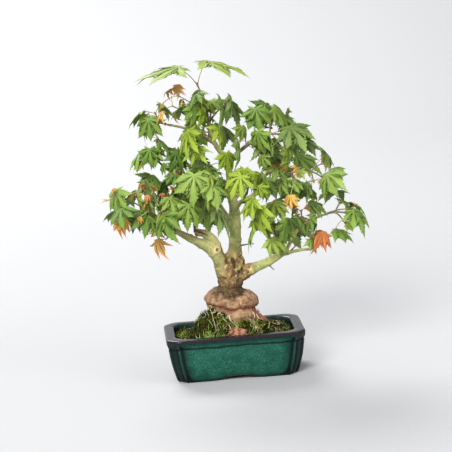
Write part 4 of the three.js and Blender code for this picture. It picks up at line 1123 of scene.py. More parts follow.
def limb_tube(name):
    """One limb from its root to its tip: its radius tapers evenly and swells a little at each bud ring,
    and its end is rounded."""
    path_length = np.linalg.norm(np.diff(limb_path(name, np.linspace(0, 1, 60)), axis=0), axis=1).sum()
    rows = int(path_length / LIMB_STEP)
    shares = np.linspace(0, 1, rows)
    radii = limb_radii(name, shares)
    ring = RING_SPACING + 2.5 * (len(name) % 3)
    phase = (shares * path_length / ring) % 1.0
    radii = radii * (1 + RING_SWELL * bell(phase, 0.5, 0.1))
    radii = radii * np.sqrt(1 - ease(shares, 1 - 1.6 / rows, 1) * 0.75)
    path = limb_path(name, shares)
    return tubes(path + wander(path, 12, 71) * 0.25 * radii[-1], radii, 20)


def limb_relief(points, normals):
    """The boughs' relief and masks: fine wrinkles, knobs and the round scar of a cut twig with its raised
    lip, rough brown bark near the trunk and on the stub's flat top, painted light on the sides that face
    up and to the right, and a groove between two boughs with painted shade in it."""
    x, y, z = points.T
    far = 28 + 12 * ease(-x, 8, 14)
    strip = ease(-x + 1.8 * lattice_noise(points, 4, 74), 4, 8) * (1 - ease(z, 117, 125)) * ease(z, 94, 103)
    near = (1 - ease(np.hypot(x - 3, z - 104), 13, far)) * (1 - 0.65 * strip)
    stub = bell(np.hypot(x + 27, z - 141), 0, 9) * ease(z, 134, 140)
    aged = np.clip(0.8 * near + 0.9 * stub + 0.35 * ease(lattice_noise(points, 9, 80), 0.2, 0.6), 0, 1)
    relief = 0.16 * rough(points, 3.5, 81) + aged * (0.7 * flaky(points, 2.6, 82, 1.5) - 0.25)
    for across, height, width, rise in KNOBS:
        relief = relief + rise * bell(np.hypot(x - across, z - height), 0, width) * ease(-y, -6, 6)
    apart = np.hypot(x - SCAR_ACROSS, z - SCAR_HEIGHT) + (y > -4) * 50
    scar_lip, scar_eye = bell(apart, 2.5, 0.9), bell(apart, 0, 1.3)
    relief = relief + 0.8 * scar_lip - 1.4 * scar_eye
    # A groove between two boughs, painted dark as shade.
    gap_line = bell(z - 124.0 - 0.55 * (-x - 12), 9.2, 0.9) * ease(-x, 17, 21) * (1 - ease(-x, 33, 38))
    relief = relief - 1.3 * gap_line
    # Painted light: lighter where the bark faces up and to the right.
    sunny = ease(normals[:, 0] * 0.5 + normals[:, 2] * 0.5 + 0.25 * lattice_noise(points, 7, 84), -0.1, 0.7)
    old_wood = 1 - ease(np.abs(x) + np.abs(z - 110) * 0.6, 40, 90)
    masks = dict(aged=aged, sunny=sunny, scar_lip=scar_lip, scar_eye=scar_eye, old_wood=old_wood)
    return relief, dict(masks, gap_line=gap_line)


def make_bough_bark():
    """Smooth bark: grey-green to olive yellow, painted lighter where it faces up and to the right, tan where
    it has aged, brown-red on the finest twigs, and painted shade in the gap between two boughs."""
    bark = Finish("bough_bark", 0.6, IOR=1.35)
    tan = bark.layers((0.21, 0.125, 0.05), ((2.4, 0.38, 0.66, 6), (0.5, 0.37, 0.18)))
    twig = bark.layers((0.15, 0.095, 0.04), ((5, 0.35, 0.65, 3), (0.235, 0.225, 0.085)))
    bark.paint(
        (0.18, 0.214, 0.06),
        ((8, 0.35, 0.65), (0.315, 0.345, 0.12)),
        # Painted light on the sides that face up and to the right.
        ("sunny", (0.45, 0.385, 0.195), 0.7),
        ("aged", tan),
        (bark.calculate("SUBTRACT", 0.75, "old_wood", clamp=True), twig),
        ((0.8, 0.62, 0.72, 1), (0.58, 0.5, 0.3), 0.55),
        ((1.7, 0.58, 0.68, 13), (0.13, 0.075, 0.03), 0.6),
        ("scar_lip", (0.5, 0.38, 0.2), 0.8),
        # The scar's dark eye, and painted shade in the gap between two boughs.
        (bark.calculate("MAXIMUM", "scar_eye", "gap_line"), (0.055, 0.026, 0.014)),
    )
    bark.emboss((1.1, 0.3, 0.7, 0, 0.5), 0.12, 0.5)
    return bark


# Where one limb leaves another, and how far round each place the skin is softened.
BOUGH_JOINTS = [(-13, -6, 122, 8), (-10, -5, 117, 8), (6, 2, 203, 6), (-6, 0, 223, 4), (6, 3, 160, 5)]
BOUGH_JOINTS += [(6, 3, 176, 5), (49, -10, 113, 6), (54, -12, 118, 5), (-46, -16, 142, 5)]
boughs = make_piece("olive_boughs", *join_parts([limb_tube(name) for name in LIMBS]), make_bough_bark())
carve_skin(boughs, BOUGH_JOINTS, limb_relief, BOUGH_GRAIN)
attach(boughs, "root")
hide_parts(*LIMBS)


# Shoots and leaf stalks
# From each bough fine shoots grow on in opposite pairs, each arched a little upwards, with a swollen
# node where it branches, a red-brown bud at its tip and two slender stalks that hold the leaves.
# The masses of foliage, each with the limb that it grows on, the share of the limb's length, the reach of
# its stem, whether it forks, the length of its leaves, their droop, the turn of its pairs, its tint and the
# seed of its leaves.
MASS_KEYS = ("on", "at", "reach", "forks", "leaf", "droop", "turn", "tint", "seed")
MASS_ROWS = {
    "apex": ("leader_top", 1, (-8, 0, 30), 0, 46, 8, 90, "light", 15413),
    "top_young": ("leader_top", 0.84, (-25, 4, 17), 0, 16, 60, 90, "bronze", 5),
    "left_tip_young": ("left_bough", 0.92, (-38, -14, 6), 0, 17, 60, 0, "bronze", 1),
    "left_hanging": ("left_bough", 0.82, (-12, -4, -3), 0, 17, 75, 60, "bronze", 1),
    "centre_top": ("leader", 0.97, (-10, -24, 6), 0, 33, 60, 30, "light", 1),
    "right_low_tip": ("right_low_twig", 1, (6, 0, 12), 0, 18, 50, 0, "bronze", 1),
    "right_inner_young": ("middle_right_bough", 0.72, (-4, -10, 12), 0, 15, 60, 30, "bronze", 2),
    "upper_middle": ("upper_right_bough", 0.35, (8, -22, 8), 0, 35, 70, 0, "mid", 1),
    "top_left": ("leader_top", 0.93, (-15, -10, 12), 1, 28, 55, 0, "mid", 7),
    "top_right": ("leader_top", 0.85, (14, -8, 16), 0, 34, 60, 0, "mid", 1),
    "top_back": ("leader_top", 0.75, (4, 20, 16), 0, 32, 50, 0, "mid", 1),
    "upper_left": ("upper_left_twig", 1, (-12, 0, 3), 1, 29, 60, 0, "mid", 1),
    "upper_left_front": ("upper_left_twig", 0.3, (2, -22, 4), 0, 35, 55, 0, "light", 1),
    "left_shoulder": ("middle_left_bough", 0.8, (-6, -10, 16), 0, 28, 55, 0, "dark", 1),
    "left_high": ("middle_left_bough", 1, (-14, -2, 14), 0, 25, 50, 20, "mid", 1),
    "left_dense": ("middle_left_bough", 0.6, (-10, -20, -2), 1, 29, 45, 0, "dark", 1),
    "left_dense_back": ("middle_left_bough", 0.4, (-8, 22, 6), 0, 33, 50, 0, "dark", 1),
    "left_tip": ("left_bough", 1, (-28, -2, 10), 1, 29, 45, 0, "mid", 9),
    "left_middle": ("left_bough", 0.85, (-6, -10, 22), 1, 29, 50, 10, "mid", 1),
    "left_low": ("left_bough", 0.75, (-16, -18, 6), 0, 28, 35, 0, "mid", 7),
    "stub_shoot": ("left_stub", 1, (-2, -8, 34), 1, 30, 50, 0, "mid", 1),
    "front_left": ("front_left_twig", 1, (4, -12, 8), 1, 31, 55, 0, "mid", 6),
    "front_high": ("front_twig", 1, (4, -8, 12), 1, 31, 65, 0, "light", 1),
    "front_low": ("front_twig", 0.6, (20, -16, -4), 0, 30, 60, 0, "light", 1),
    "right_low": ("right_bough", 0.75, (-6, -16, 27), 0, 35, 55, 0, "mid", 1),
    "right_low_back": ("right_bough", 0.6, (6, 16, 26), 0, 31, 50, 0, "mid", 1),
    "right_yellow": ("right_bough", 0.8, (2, -14, 16), 0, 19, 50, 30, "light", 1),
    "right_middle": ("right_rising_twig", 0.4, (6, -12, 10), 1, 28, 60, 0, "mid", 1),
    "right_tip": ("right_rising_twig", 1, (20, 0, 0), 1, 28, 30, 0, "mid", 2),
    "right_shoulder": ("middle_right_bough", 1, (20, -4, -10), 1, 30, 60, 0, "mid", 11),
    "right_shoulder_low": ("middle_right_bough", 0.7, (8, -14, -8), 0, 26, 60, 0, "mid", 1),
    "right_inner": ("middle_right_bough", 0.45, (4, -20, 6), 1, 29, 50, 0, "mid", 7),
    "right_high": ("upper_right_bough", 0.97, (6, -18, 2), 0, 42, 55, 0, "mid", 1),
    "right_top": ("upper_right_bough", 0.8, (12, 10, 14), 1, 30, 40, 0, "dark", 3),
    "right_outer": ("upper_right_bough", 1, (26, 6, -8), 1, 29, 55, 0, "mid", 3),
    "back_low": ("back_low_bough", 1, (-8, 16, 8), 1, 31, 50, 0, "mid", 1),
    "back_right": ("back_right_bough", 1, (16, 14, 8), 1, 31, 50, 0, "mid", 1),
    "back_left": ("back_left_bough", 1, (-12, 16, 8), 1, 30, 50, 0, "mid", 2),
    "back_high": ("back_high_bough", 1, (-4, 14, 10), 0, 33, 50, 0, "mid", 1),
}
# What only some masses have: the rise of their stalks, the stalks' share of a leaf and the leaves' hollow.
HABIT = dict(up=0.3, stalk=0.5, cup=0.25)
OWN_HABITS = {
    "apex": dict(up=0.9, stalk=0.45, cup=0.05),
    "top_young": dict(cup=0.7),
    "left_tip_young": dict(cup=0.6),
    "left_hanging": dict(cup=0.5),
    "right_low_tip": dict(cup=0.6),
    "right_inner_young": dict(cup=0.6),
    "left_tip": dict(stalk=0.6),
}
MASSES = {
    name: dict(zip(MASS_KEYS, row), name=name, **{**HABIT, **OWN_HABITS.get(name, {})})
    for name, row in MASS_ROWS.items()
}
UPWARD = np.array([0.0, 0.0, 1.0])
SHOOT_ARCH, SHOOT_NODE, SHOOT_JITTER, SHORTEST_SHOOT, SIDE_SHARE = 0.12, 0.5, 30, 11, 0.5
SHOOT_LEAN, STALK_LEAN, STALK_FROM, STALK_JITTER = (0.8, 0.6, 0.1), (0.85, 0.4, 0.3), 0.97, 30
LEAF_SIZES, LEAF_TURNS, LEAF_DROOPS, LEAF_ROLLS = (0.82, 1.18), 40, 26, 44
OUTWARD = 0.4
# A shoot or leaf is in its solid if its tips lie this near to the solid's points. A leaf that found no
# room there is smaller and hangs lower.
SHOOT_MATCH, LEAF_MATCH, CRAMPED = 1.2, 0.8, (0, 14, 0.66)
# Pairs of young leaves: how often they grow, at what share of a shoot, and the sizes of their leaves next
# to the grown ones. Stems carry them only in masses of large leaves.
STEM_PAIR = (0.8, 0.55, (0.42, 0.66))
SIDE_PAIR = (0.5, 0.45, (0.34, 0.56))
TIP_PAIR = (0.3, 1.0, (0.18, 0.28))
LARGE_LEAF = 24
# How far a leaf may hang from the place that its solid has.
LOOSE_TURN, LOOSE_ROLL, LOOSE_DROOP, LOOSE_SIZE = 30, 46, (-34, 22), (0.76, 0.98)
BLADE_ANGLES = np.array([-122, -78, -38, 0, 38, 78, 122], float)
BLADE_LENGTHS = np.array([0.36, 0.70, 0.92, 1.0, 0.92, 0.70, 0.36])
# The left tier lies to the left of this line, and its green leaves end above this height.
TIER_EDGE, TIER_FLOOR = -36.0, 150.0
# The turns, droops and sizes that a leaf may take to keep clear of its neighbours.
TRIES = [
    (0, 0, 1), (30, 0, 1), (-30, 0, 1), (0, 20, 0.95), (55, 10, 0.95), (-55, 10, 0.95),
    (0, -20, 0.85), (80, 0, 0.85), (-80, 0, 0.85),
]


def seeded(seed):
    """Numbers from 0 to 1 that follow from a seed alone."""
    state, whole = seed, 0xFFFFFFFF
    while True:
        state = (state + 0x6D2B79F5) & whole
        mixed = ((state ^ (state >> 15)) * (1 | state)) & whole
        mixed = ((mixed + (((mixed ^ (mixed >> 7)) * (61 | mixed)) & whole)) & whole) ^ mixed
        yield ((mixed ^ (mixed >> 14)) & whole) / 4294967296


def within(limits, drawn):
    """A number between two limits, at a drawn share of the way."""
    return limits[0] + (limits[1] - limits[0]) * drawn


def aside(width, drawn):
    """A number at most half a width to either side of 0, by a drawn share."""
    return (drawn - 0.5) * width


def arched(base, tip):
    """The three points of a parabola between a shoot's ends, arched upwards."""
    middle = (base + tip) / 2 + UPWARD * SHOOT_ARCH * np.linalg.norm(tip - base)
    return np.array([base, middle, tip])


def on_arch(arch, t):
    """Places on a parabola with three points."""
    t = np.asarray(t, float)[..., None]
    return (1 - t) ** 2 * arch[0] + 2 * t * (1 - t) * arch[1] + t**2 * arch[2]


def arch_way(arch, t):
    """The way along a parabola at a share of its length: its slope."""
    return unit(2 * (1 - t) * (arch[1] - arch[0]) + 2 * t * (arch[2] - arch[1]))


def pair_way(arch, t, turn, lean):
    """The way that one of an opposite pair leaves a shoot: out, forwards and a little up."""
    along = arch_way(arch, t)
    flat = unit(np.cross(UPWARD, along))
    rise = np.cross(along, flat)
    out = flat * np.cos(np.radians(turn)) + rise * np.sin(np.radians(turn))
    return unit(out * lean[0] + along * lean[1] + UPWARD * lean[2])


def grow_shoots(mass, base, draws):
    """The shoots of one mass: its stem and, where it forks, two opposite side shoots."""
    reach = np.array(mass["reach"], float)
    stem = arched(base, base + reach)
    shoots = [(stem, mass["turn"], 1.0)]
    root = on_arch(stem, SHOOT_NODE)
    for side in (0, 180) if mass["forks"] else ():
        turn = mass["turn"] + 90 + side + aside(SHOOT_JITTER, next(draws))
        way = pair_way(stem, SHOOT_NODE, turn, SHOOT_LEAN)
        length = max(SHORTEST_SHOOT, SIDE_SHARE * np.linalg.norm(reach)) * within((0.8, 1.2), next(draws))
        shoots.append((arched(root, root + way * length), turn + aside(SHOOT_JITTER, next(draws)), 0.86))
    return shoots


def grow_pair(mass, shoot, draws):
    """The two leaves at a shoot's tip: root, way and length of the stalk, then the blade's turn, droop,
    roll, length and hollow."""
    arch, shoot_turn, share = shoot
    leaves, lean = [], (*STALK_LEAN[:2], mass["up"])
    for side in (0, 180):
        way = pair_way(arch, 1.0, shoot_turn + side + aside(STALK_JITTER, next(draws)), lean)
        size = mass["leaf"] * share * within(LEAF_SIZES, next(draws))
        stalk = size * mass["stalk"] * within((0.75, 1.25), next(draws))
        turn, droop = aside(LEAF_TURNS, next(draws)), mass["droop"] + aside(LEAF_DROOPS, next(draws))
        roll = aside(LEAF_ROLLS, next(draws))
        leaf = dict(root=on_arch(arch, STALK_FROM), way=way, stalk=stalk, turn=turn, droop=droop, roll=roll)
        leaves.append(dict(leaf, size=size, cup=mass["cup"], tint=mass["tint"], mass=mass["name"]))
    return leaves


def level_way(vector):
    """The way of length 1 over the ground under a vector."""
    return unit(vector * [1, 1, 0])


def turned(vector, axis, degrees):
    """A vector turned about an axis of length 1."""
    angle = np.radians(degrees)
    swept = np.cross(axis, vector) * np.sin(angle)
    return vector * np.cos(angle) + swept + axis * axis.dot(vector) * (1 - np.cos(angle))


def hold_blade(leaf, more_turn, more_droop, share):
    """A leaf with its blade in place: the joint with its stalk, and the ways along, across and out of it.
    The blade points away from its stalk and from the trunk, then droops and rolls."""
    joint = leaf["root"] + leaf["way"] * leaf["stalk"]
    out = level_way(level_way(leaf["way"]) + OUTWARD * level_way(joint))
    out = turned(out, UPWARD, leaf["turn"] + more_turn)
    droop = np.radians(leaf["droop"] + more_droop)
    along = out * np.cos(droop) - UPWARD * np.sin(droop)
    normal = turned(out * np.sin(droop) + UPWARD * np.cos(droop), along, leaf["roll"])
    axes = dict(joint=joint, along=along, normal=normal, side=np.cross(normal, along))
    return dict(leaf, **axes, size=leaf["size"] * share)


def lobe_tips(leaf):
    """Where the five long lobes of a blade end."""
    turn, share = np.radians(BLADE_ANGLES[1:-1])[:, None], BLADE_LENGTHS[1:-1, None]
    flat = share * (leaf["along"] * np.cos(turn) + leaf["side"] * np.sin(turn))
    return leaf["joint"] + leaf["size"] * (flat - leaf["normal"] * (leaf["cup"] * share**2 + 0.1 * share))


def node_points(name):
    """The places of a solid's points, in millimetres from under the pot."""
    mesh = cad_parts[name].data
    return read_places(mesh.vertices, "co", np.float32, 3) / MILLIMETRE + CROWN_MIDDLE


def gap_to(points, places):
    """The longest of the distances from each place to its nearest point."""
    return np.linalg.norm(points[None] - places[:, None], axis=-1).min(1).max()


def settle(leaf, points):
    """The leaf as the solid of its mass has it."""
    held = [hold_blade(leaf, *tried) for tried in TRIES]
    gaps = [gap_to(points, lobe_tips(one)) for one in held]
    if min(gaps) < LEAF_MATCH:
        return held[int(np.argmin(gaps))]
    return hold_blade(leaf, *CRAMPED)


def loosen(leaf, draws):
    """The leaf as it hangs in the air: a little more turned, rolled and drooped than its neighbours, so
    that no two blades face the same way."""
    turn, roll = draws.uniform(-LOOSE_TURN, LOOSE_TURN), draws.uniform(-LOOSE_ROLL, LOOSE_ROLL)
    droop = draws.uniform(*LOOSE_DROOP)
    along = turned(turned(leaf["along"], UPWARD, turn), turned(leaf["side"], UPWARD, turn), droop)
    side = turned(turned(leaf["side"], UPWARD, turn), along, roll)
    size = leaf["size"] * draws.uniform(*LOOSE_SIZE)
    return dict(leaf, along=along, side=side, normal=np.cross(along, side), size=size)


def lift_clear(leaf):
    """The lowest green leaves of the left tier hold their tips above the bough, so that sky shows under
    it; only young bronze leaves hang lower."""
    tip = leaf["joint"] + leaf["along"] * leaf["size"]
    if leaf["tint"] == "bronze" or tip[0] > TIER_EDGE:
        return leaf
    lift = max(0.0, TIER_FLOOR - tip[2])
    return dict(leaf, joint=leaf["joint"] + UPWARD * lift, stalk=leaf["stalk"] + 0.5 * lift)


def young_pair(mass, stem, at, sizes, tint, draws):
    """A pair of young leaves at a node along a shoot, smaller than the grown ones at its tip."""
    pair = []
    for side in (0, 180):
        way = pair_way(stem, at, mass["turn"] + 90 + side + draws.uniform(-30, 30), STALK_LEAN)
        leaf = dict(root=on_arch(stem, at), way=way, stalk=mass["leaf"] * draws.uniform(0.6, 1.0) * sizes[1])
        leaf.update(turn=draws.uniform(-30, 30), droop=mass["droop"], roll=draws.uniform(-30, 30))
        leaf.update(size=mass["leaf"] * draws.uniform(*sizes), cup=0.3, tint=tint, mass=mass["name"])
        pair.append(loosen(hold_blade(leaf, 0, 0, 1.0), draws))
    return pair


def grow_foliage():
    """All shoots and leaves. A side shoot is grown where the solid of its mass has one."""
    stems, side_shoots, leaves = [], [], []
    air = np.random.default_rng(11)
    for index, (name, mass) in enumerate(MASSES.items()):
        points = node_points(name)
        base = limb_path(mass["on"], [mass["at"]])[0]
        draws = seeded(mass["seed"])
        stem, *sides = grow_shoots(mass, base, seeded(index + 1))
        sides = [shoot for shoot in sides if gap_to(points, shoot[0][2:]) < SHOOT_MATCH]
        stems.append(stem[0])
        side_shoots += [arch for arch, _, _ in sides]
        tint = "fresh" if mass["tint"] == "mid" and index % 2 else mass["tint"]
        tint = "spring" if name == "apex" else tint
        for shoot in [stem, *sides]:
            for leaf in grow_pair(mass, shoot, draws):
                leaf = dict(settle(leaf, points), tint=tint)
                leaves.append(leaf if tint == "bronze" or name == "apex" else loosen(leaf, air))
        young = "spring" if mass["tint"] == "mid" else mass["tint"]
        places = [(stem[0], *STEM_PAIR, young)] if mass["leaf"] > LARGE_LEAF and name != "apex" else []
        for arch, _, _ in sides:
            places += [(arch, *SIDE_PAIR, young), (arch, *TIP_PAIR, "bronze")]
        for arch, chance, at, sizes, shade in places:
            if air.random() < chance:
                leaves += young_pair(mass, arch, at, sizes, shade, air)
    return stems, side_shoots, [lift_clear(leaf) for leaf in leaves]


# Thin twigs: limb, share of its length, tip, length and droop of the young leaves at its tip, and the
# mass that they belong to.
FINE_TWIGS = [
    ("leader_top", 0.7, (-44, -6, 262), 16, 50, "top_left"),
    ("leader_top", 0.95, (-38, -2, 271), 15, 60, "top_young"),
    ("left_bough", 0.8, (-80, -28, 187), 8, 40, "left_middle"),
    ("left_bough", 0.9, (-70, -30, 183), 8, 60, "left_middle"),
    ("left_bough", 0.7, (-55, -22, 181), 7, 30, "left_dense"),
    ("left_bough", 0.95, (-74, -34, 168), 9, 50, "left_low"),
    ("right_rising_twig", 1.0, (121, -8, 152), 7, -30, "right_tip"),
    ("middle_right_bough", 0.8, (66, -22, 186), 17, 55, "right_inner_young"),
    ("left_bough", 1.0, (-104, -27, 184), 8, 10, "left_tip"),
]
# Bare twigs: limb, share of its length and tip.
BARE_TWIGS = [
    ("left_stub", 0.98, (-31, -12, 162)),
    ("right_bough", 0.40, (42, -8, 98.5)),
    ("leader", 0.12, (24, -8, 125)),
    ("right_low_twig", 0.3, (68, -14, 124)),
    ("left_bough", 0.72, (-60, -20, 138)),
]


def grow_fine_twigs(draws):
    """Thin twigs that end in a pair of young bronze leaves, and a few bare ones."""
    carrying, leaves = [], []
    for limb, share, tip, size, droop, mass in FINE_TWIGS:
        arch = arched(limb_path(limb, [share])[0], np.array(tip, float))
        carrying.append(arch)
        twig = dict(turn=0, leaf=size, droop=droop, name=mass)
        leaves += young_pair(twig, arch, 1.0, (0.9, 1.1), "bronze", draws)
    ends = [(limb_path(limb, [share])[0], np.array(tip, float)) for limb, share, tip in BARE_TWIGS]
    return carrying, [arched(*end) for end in ends], leaves


def shoot_tubes(arches, thick, thin, rows, columns):
    """Shoots as tubes that taper, swell at their foot and in a ring at each node, and sway a little."""
    t = np.linspace(0, 1, rows)
    paths = np.stack([on_arch(arch, t) for arch in arches])
    paths = paths + wander(paths, 9, 91) * 0.5 * (t * (1 - t) * 4)[:, None]
    taper = thick + (thin - thick) * t + 0.35 * bell(t, 0, 0.12)
    rings = 0.22 * (bell(t, 0.5, 0.03) + bell(t, 0.97, 0.05) + 0.6 * bell(t, 0.75, 0.02))
    return tubes(paths, taper + rings, columns)


def gather(leaves, key):
    """One value of every leaf, in one array."""
    return np.array([leaf[key] for leaf in leaves])


def stalk_tubes(leaves, rows=16, columns=7):
    """Leaf stalks: a parabola from the shoot, in the leaf's own way, that sags into the blade's joint. A
    stalk is wider at both ends."""
    root, joint, along = (gather(leaves, key) for key in ("root", "joint", "along"))
    stalk = gather(leaves, "stalk")[:, None]
    bend = (root + joint) / 2 + UPWARD * 0.10 * stalk - along * 0.06 * stalk
    t = np.linspace(0, 1, rows)
    radii = 0.36 + 0.22 * bell(t, 0, 0.12) + 0.12 * bell(t, 1, 0.12)
    places = on_arch([part[:, None] for part in (root, bend, joint + along * 0.4)], t)
    return tubes(places, radii, columns)


def bud_tubes(arches, rows=9, columns=8):
    """A pointed bud at the tip of each shoot: a spindle 3.4 mm long."""
    tips = np.stack([arch[2] for arch in arches])
    ways = np.stack([arch_way(arch, 1.0) for arch in arches])
    t = np.linspace(0, 1, rows)
    paths = tips[:, None] + ways[:, None] * (3.4 * t[:, None] - 0.8)
    radii = 0.12 + 1.0 * np.sin(np.pi * t**0.75) ** 0.9
    return tubes(paths, radii, columns)


stems, side_shoots, leaves = grow_foliage()
carrying, bare, young_leaves = grow_fine_twigs(np.random.default_rng(5))
leaves += young_leaves
# Each kind of shoot, its half width at the foot and at the tip, and the rings and corners of its tube.
SHOOT_KINDS = [(stems, 1.1, 0.72, 26, 9), (side_shoots, 0.75, 0.55, 20, 8)]
SHOOT_KINDS += [(carrying, 0.7, 0.4, 26, 8), (bare, 0.95, 0.4, 20, 8)]
# Young bark is brown-green and darker at the rings, stalks are yellow-green flushed with red, and the
# scales of the buds red-brown.
rings = ((3, 0.45, 0.7, 5), (0.05, 0.028, 0.016))
green = ((7, 0.35, 0.65), (0.165, 0.16, 0.055))
twig_bark = make_finish("twig_bark", 0.5, (0.09, 0.065, 0.026), green, rings)
flush = ((12, 0.45, 0.62), (0.19, 0.07, 0.04))
stalk_skin = make_finish("stalk_skin", 0.4, (0.23, 0.22, 0.07), flush)
bud_scales = make_finish("bud_scales", 0.4, (0.15, 0.035, 0.02), ((1.2, 0.4, 0.6), (0.3, 0.13, 0.06)))
twigs = make_piece("shoots", *join_parts([shoot_tubes(*kind) for kind in SHOOT_KINDS]), twig_bark)
buds = make_piece("buds", *bud_tubes(stems + side_shoots), bud_scales)
stalks = make_piece("leaf_stalks", *stalk_tubes(leaves), stalk_skin)
for piece, slot_name in ((twigs, "bough_bark"), (buds, "leaf_bronze"), (stalks, "leaf_green")):
    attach(piece, "root")
    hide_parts(*MASSES)


# Leaves
# Thin palm-shaped blades of seven saw-edged lobes that end in long points. Each lobe is folded up a
# little on both sides of its vein and droops at its tip. Each blade hangs by the heel from its stalk.
BLADE_FULLNESS = np.array([0.11, 0.28, 0.40, 0.42, 0.40, 0.28, 0.11])
BLADE_TEETH = [3, 5, 6, 6, 6, 5, 3]
BLADE_NOTCHES = np.array([0.22, 0.41, 0.50, 0.50, 0.41, 0.22])
BLADE_HEEL, HEEL_ANGLE = 0.05, 165.0
BLADE_RINGS = np.array([0.30, 0.62, 0.87, 0.975])
BLADE_THICKNESS, BLADE_GLOW = 0.42, 0.38
TOOTH_RISE, TOOTH_CUT = 0.26, 0.20


def notch_place(notch, angle_gap, side):
    """Where a notch lies along and aside of a lobe's vein, from its own reach and angle."""
    return notch * np.cos(np.radians(angle_gap)), side * notch * np.sin(np.radians(angle_gap))


def lobe_edge(lobe, notch, angle_gap, side):
    """One edge of a lobe from the notch beside it to just short of its tip: how far along the lobe's vein
    and how far aside each point lies. The edge swells, then narrows to a long point, in forward teeth."""
    start, wide = notch_place(notch, angle_gap, 1)
    count = BLADE_TEETH[lobe]
    places = np.repeat(np.arange(count), 2) / count + np.tile([0.74 / count, 0.96 / count], count)
    places = places[:-1]
    factor = 1 + np.where(np.arange(2 * count - 1) % 2 == 0, TOOTH_RISE, -TOOTH_CUT)
    width = wide * (1 - places) ** 1.1 + BLADE_FULLNESS[lobe] * places * (1 - places) ** 1.9
    along = start + places * (BLADE_LENGTHS[lobe] - start)
    return along, side * width * factor


def blade_outline():
    """The outline of a blade from one side of its heel to the other: for each point its lobe, how far
    along and how far aside of that lobe's vein it lies, and whether it may move with its lobe."""
    heel = (BLADE_HEEL, HEEL_ANGLE - BLADE_ANGLES[-1])
    notches = [heel, *zip(BLADE_NOTCHES, np.diff(BLADE_ANGLES) / 2), heel]
    parts = [(0, *notch_place(*heel, -1), 0.0)]
    for lobe, (before, after) in enumerate(zip(notches, notches[1:])):
        back = [line[::-1] for line in lobe_edge(lobe, *after, 1)]
        parts += [(lobe, *lobe_edge(lobe, *before, -1), 1.0), (lobe, BLADE_LENGTHS[lobe], 0.0, 1.0)]
        parts += [(lobe, *back, 1.0), (lobe, *notch_place(*after, 1), 0.0)]
    rows = [np.stack(np.broadcast_arrays(*np.atleast_1d(*part))) for part in parts]
    lobe, along, beside, free = np.concatenate(rows, 1)
    return lobe.astype(int), along, beside, free


def blade_points(leaves, draws, young):
    """All blades of one tint at once: rings of the outline shrunk towards the joint, under the blade, at
    its edge and above it. A lobe bends sideways, droops and narrows by its own draw. The lobes of young
    leaves are narrower, closer together and more crumpled."""
    lobe, along, beside, free = blade_outline()
    count, columns = len(leaves), len(lobe)
    shares = np.concatenate([BLADE_RINGS, [1.0], BLADE_RINGS[::-1]])
    above = np.concatenate([-np.ones(4), [0.0], np.ones(4)])
    longer = 1 + 0.10 * draws.uniform(-1, 1, (count, 7))[:, lobe] * free * ease(along, 0.3, 0.9)
    wider = 1 + 0.14 * draws.uniform(-1, 1, (count, 7))[:, lobe] * free
    saw = 1 + 0.10 * draws.uniform(-1, 1, (count, columns)) * free
    s = (along * longer)[:, None] * shares[:, None]
    w = (beside * wider * saw * (1 - 0.34 * young * free))[:, None] * shares[:, None]
    reach = np.clip(s / BLADE_LENGTHS[lobe], 0, 1.15)
    bend = draws.uniform(-0.20, 0.20, (count, 7))[:, None, lobe] * ease(reach, 0.42, 1.15) * (1 + young)
    angle = np.radians(BLADE_ANGLES)[lobe] * (1 - 0.22 * young) + bend
    x = s * np.cos(angle) - w * np.sin(angle)
    y = s * np.sin(angle) + w * np.cos(angle)
    cup, size = (gather(leaves, key)[:, None, None] for key in ("cup", "size"))
    hang = 0.12 + draws.uniform(-0.08, 0.20, (count, 7))[:, None, lobe] * (1 + 1.5 * young)
    fold = draws.uniform(-0.03, 0.04, (count, 1, 1))
    ripple = 0.012 * np.sin(17 * s + 3 * draws.uniform(0, 6, (count, 7))[:, None, lobe]) * np.abs(w) / 0.15
    height = -cup * (x * x + y * y) - hang * reach**2.4 * BLADE_LENGTHS[lobe] + fold * np.abs(w) + ripple
    thick = BLADE_THICKNESS / 2 * above[:, None] * (1 - 0.35 * shares[:, None])
    keys = ("joint", "along", "side", "normal")
    joint, forth, aslant, out = (gather(leaves, key)[:, None, None] for key in keys)
    lifted = (size * height + thick)[..., None] * out
    points = joint + (size * x)[..., None] * forth + (size * y)[..., None] * aslant + lifted
    middles = joint[:, 0] + out[:, 0] * np.array([[-0.5], [0.5]]) * BLADE_THICKNESS
    points = np.concatenate([points.reshape(count, -1, 3), middles], 1)
    return points, s, np.abs(w), np.broadcast_to(above[:, None], s.shape)


def with_middles(values, under, over):
    """A number for each point of each blade, with the two middle points' own."""
    flat = np.asarray(values).reshape(len(values), -1)
    ends = np.tile([under, over], (len(flat), 1))
    return np.concatenate([flat, ends], 1).ravel()


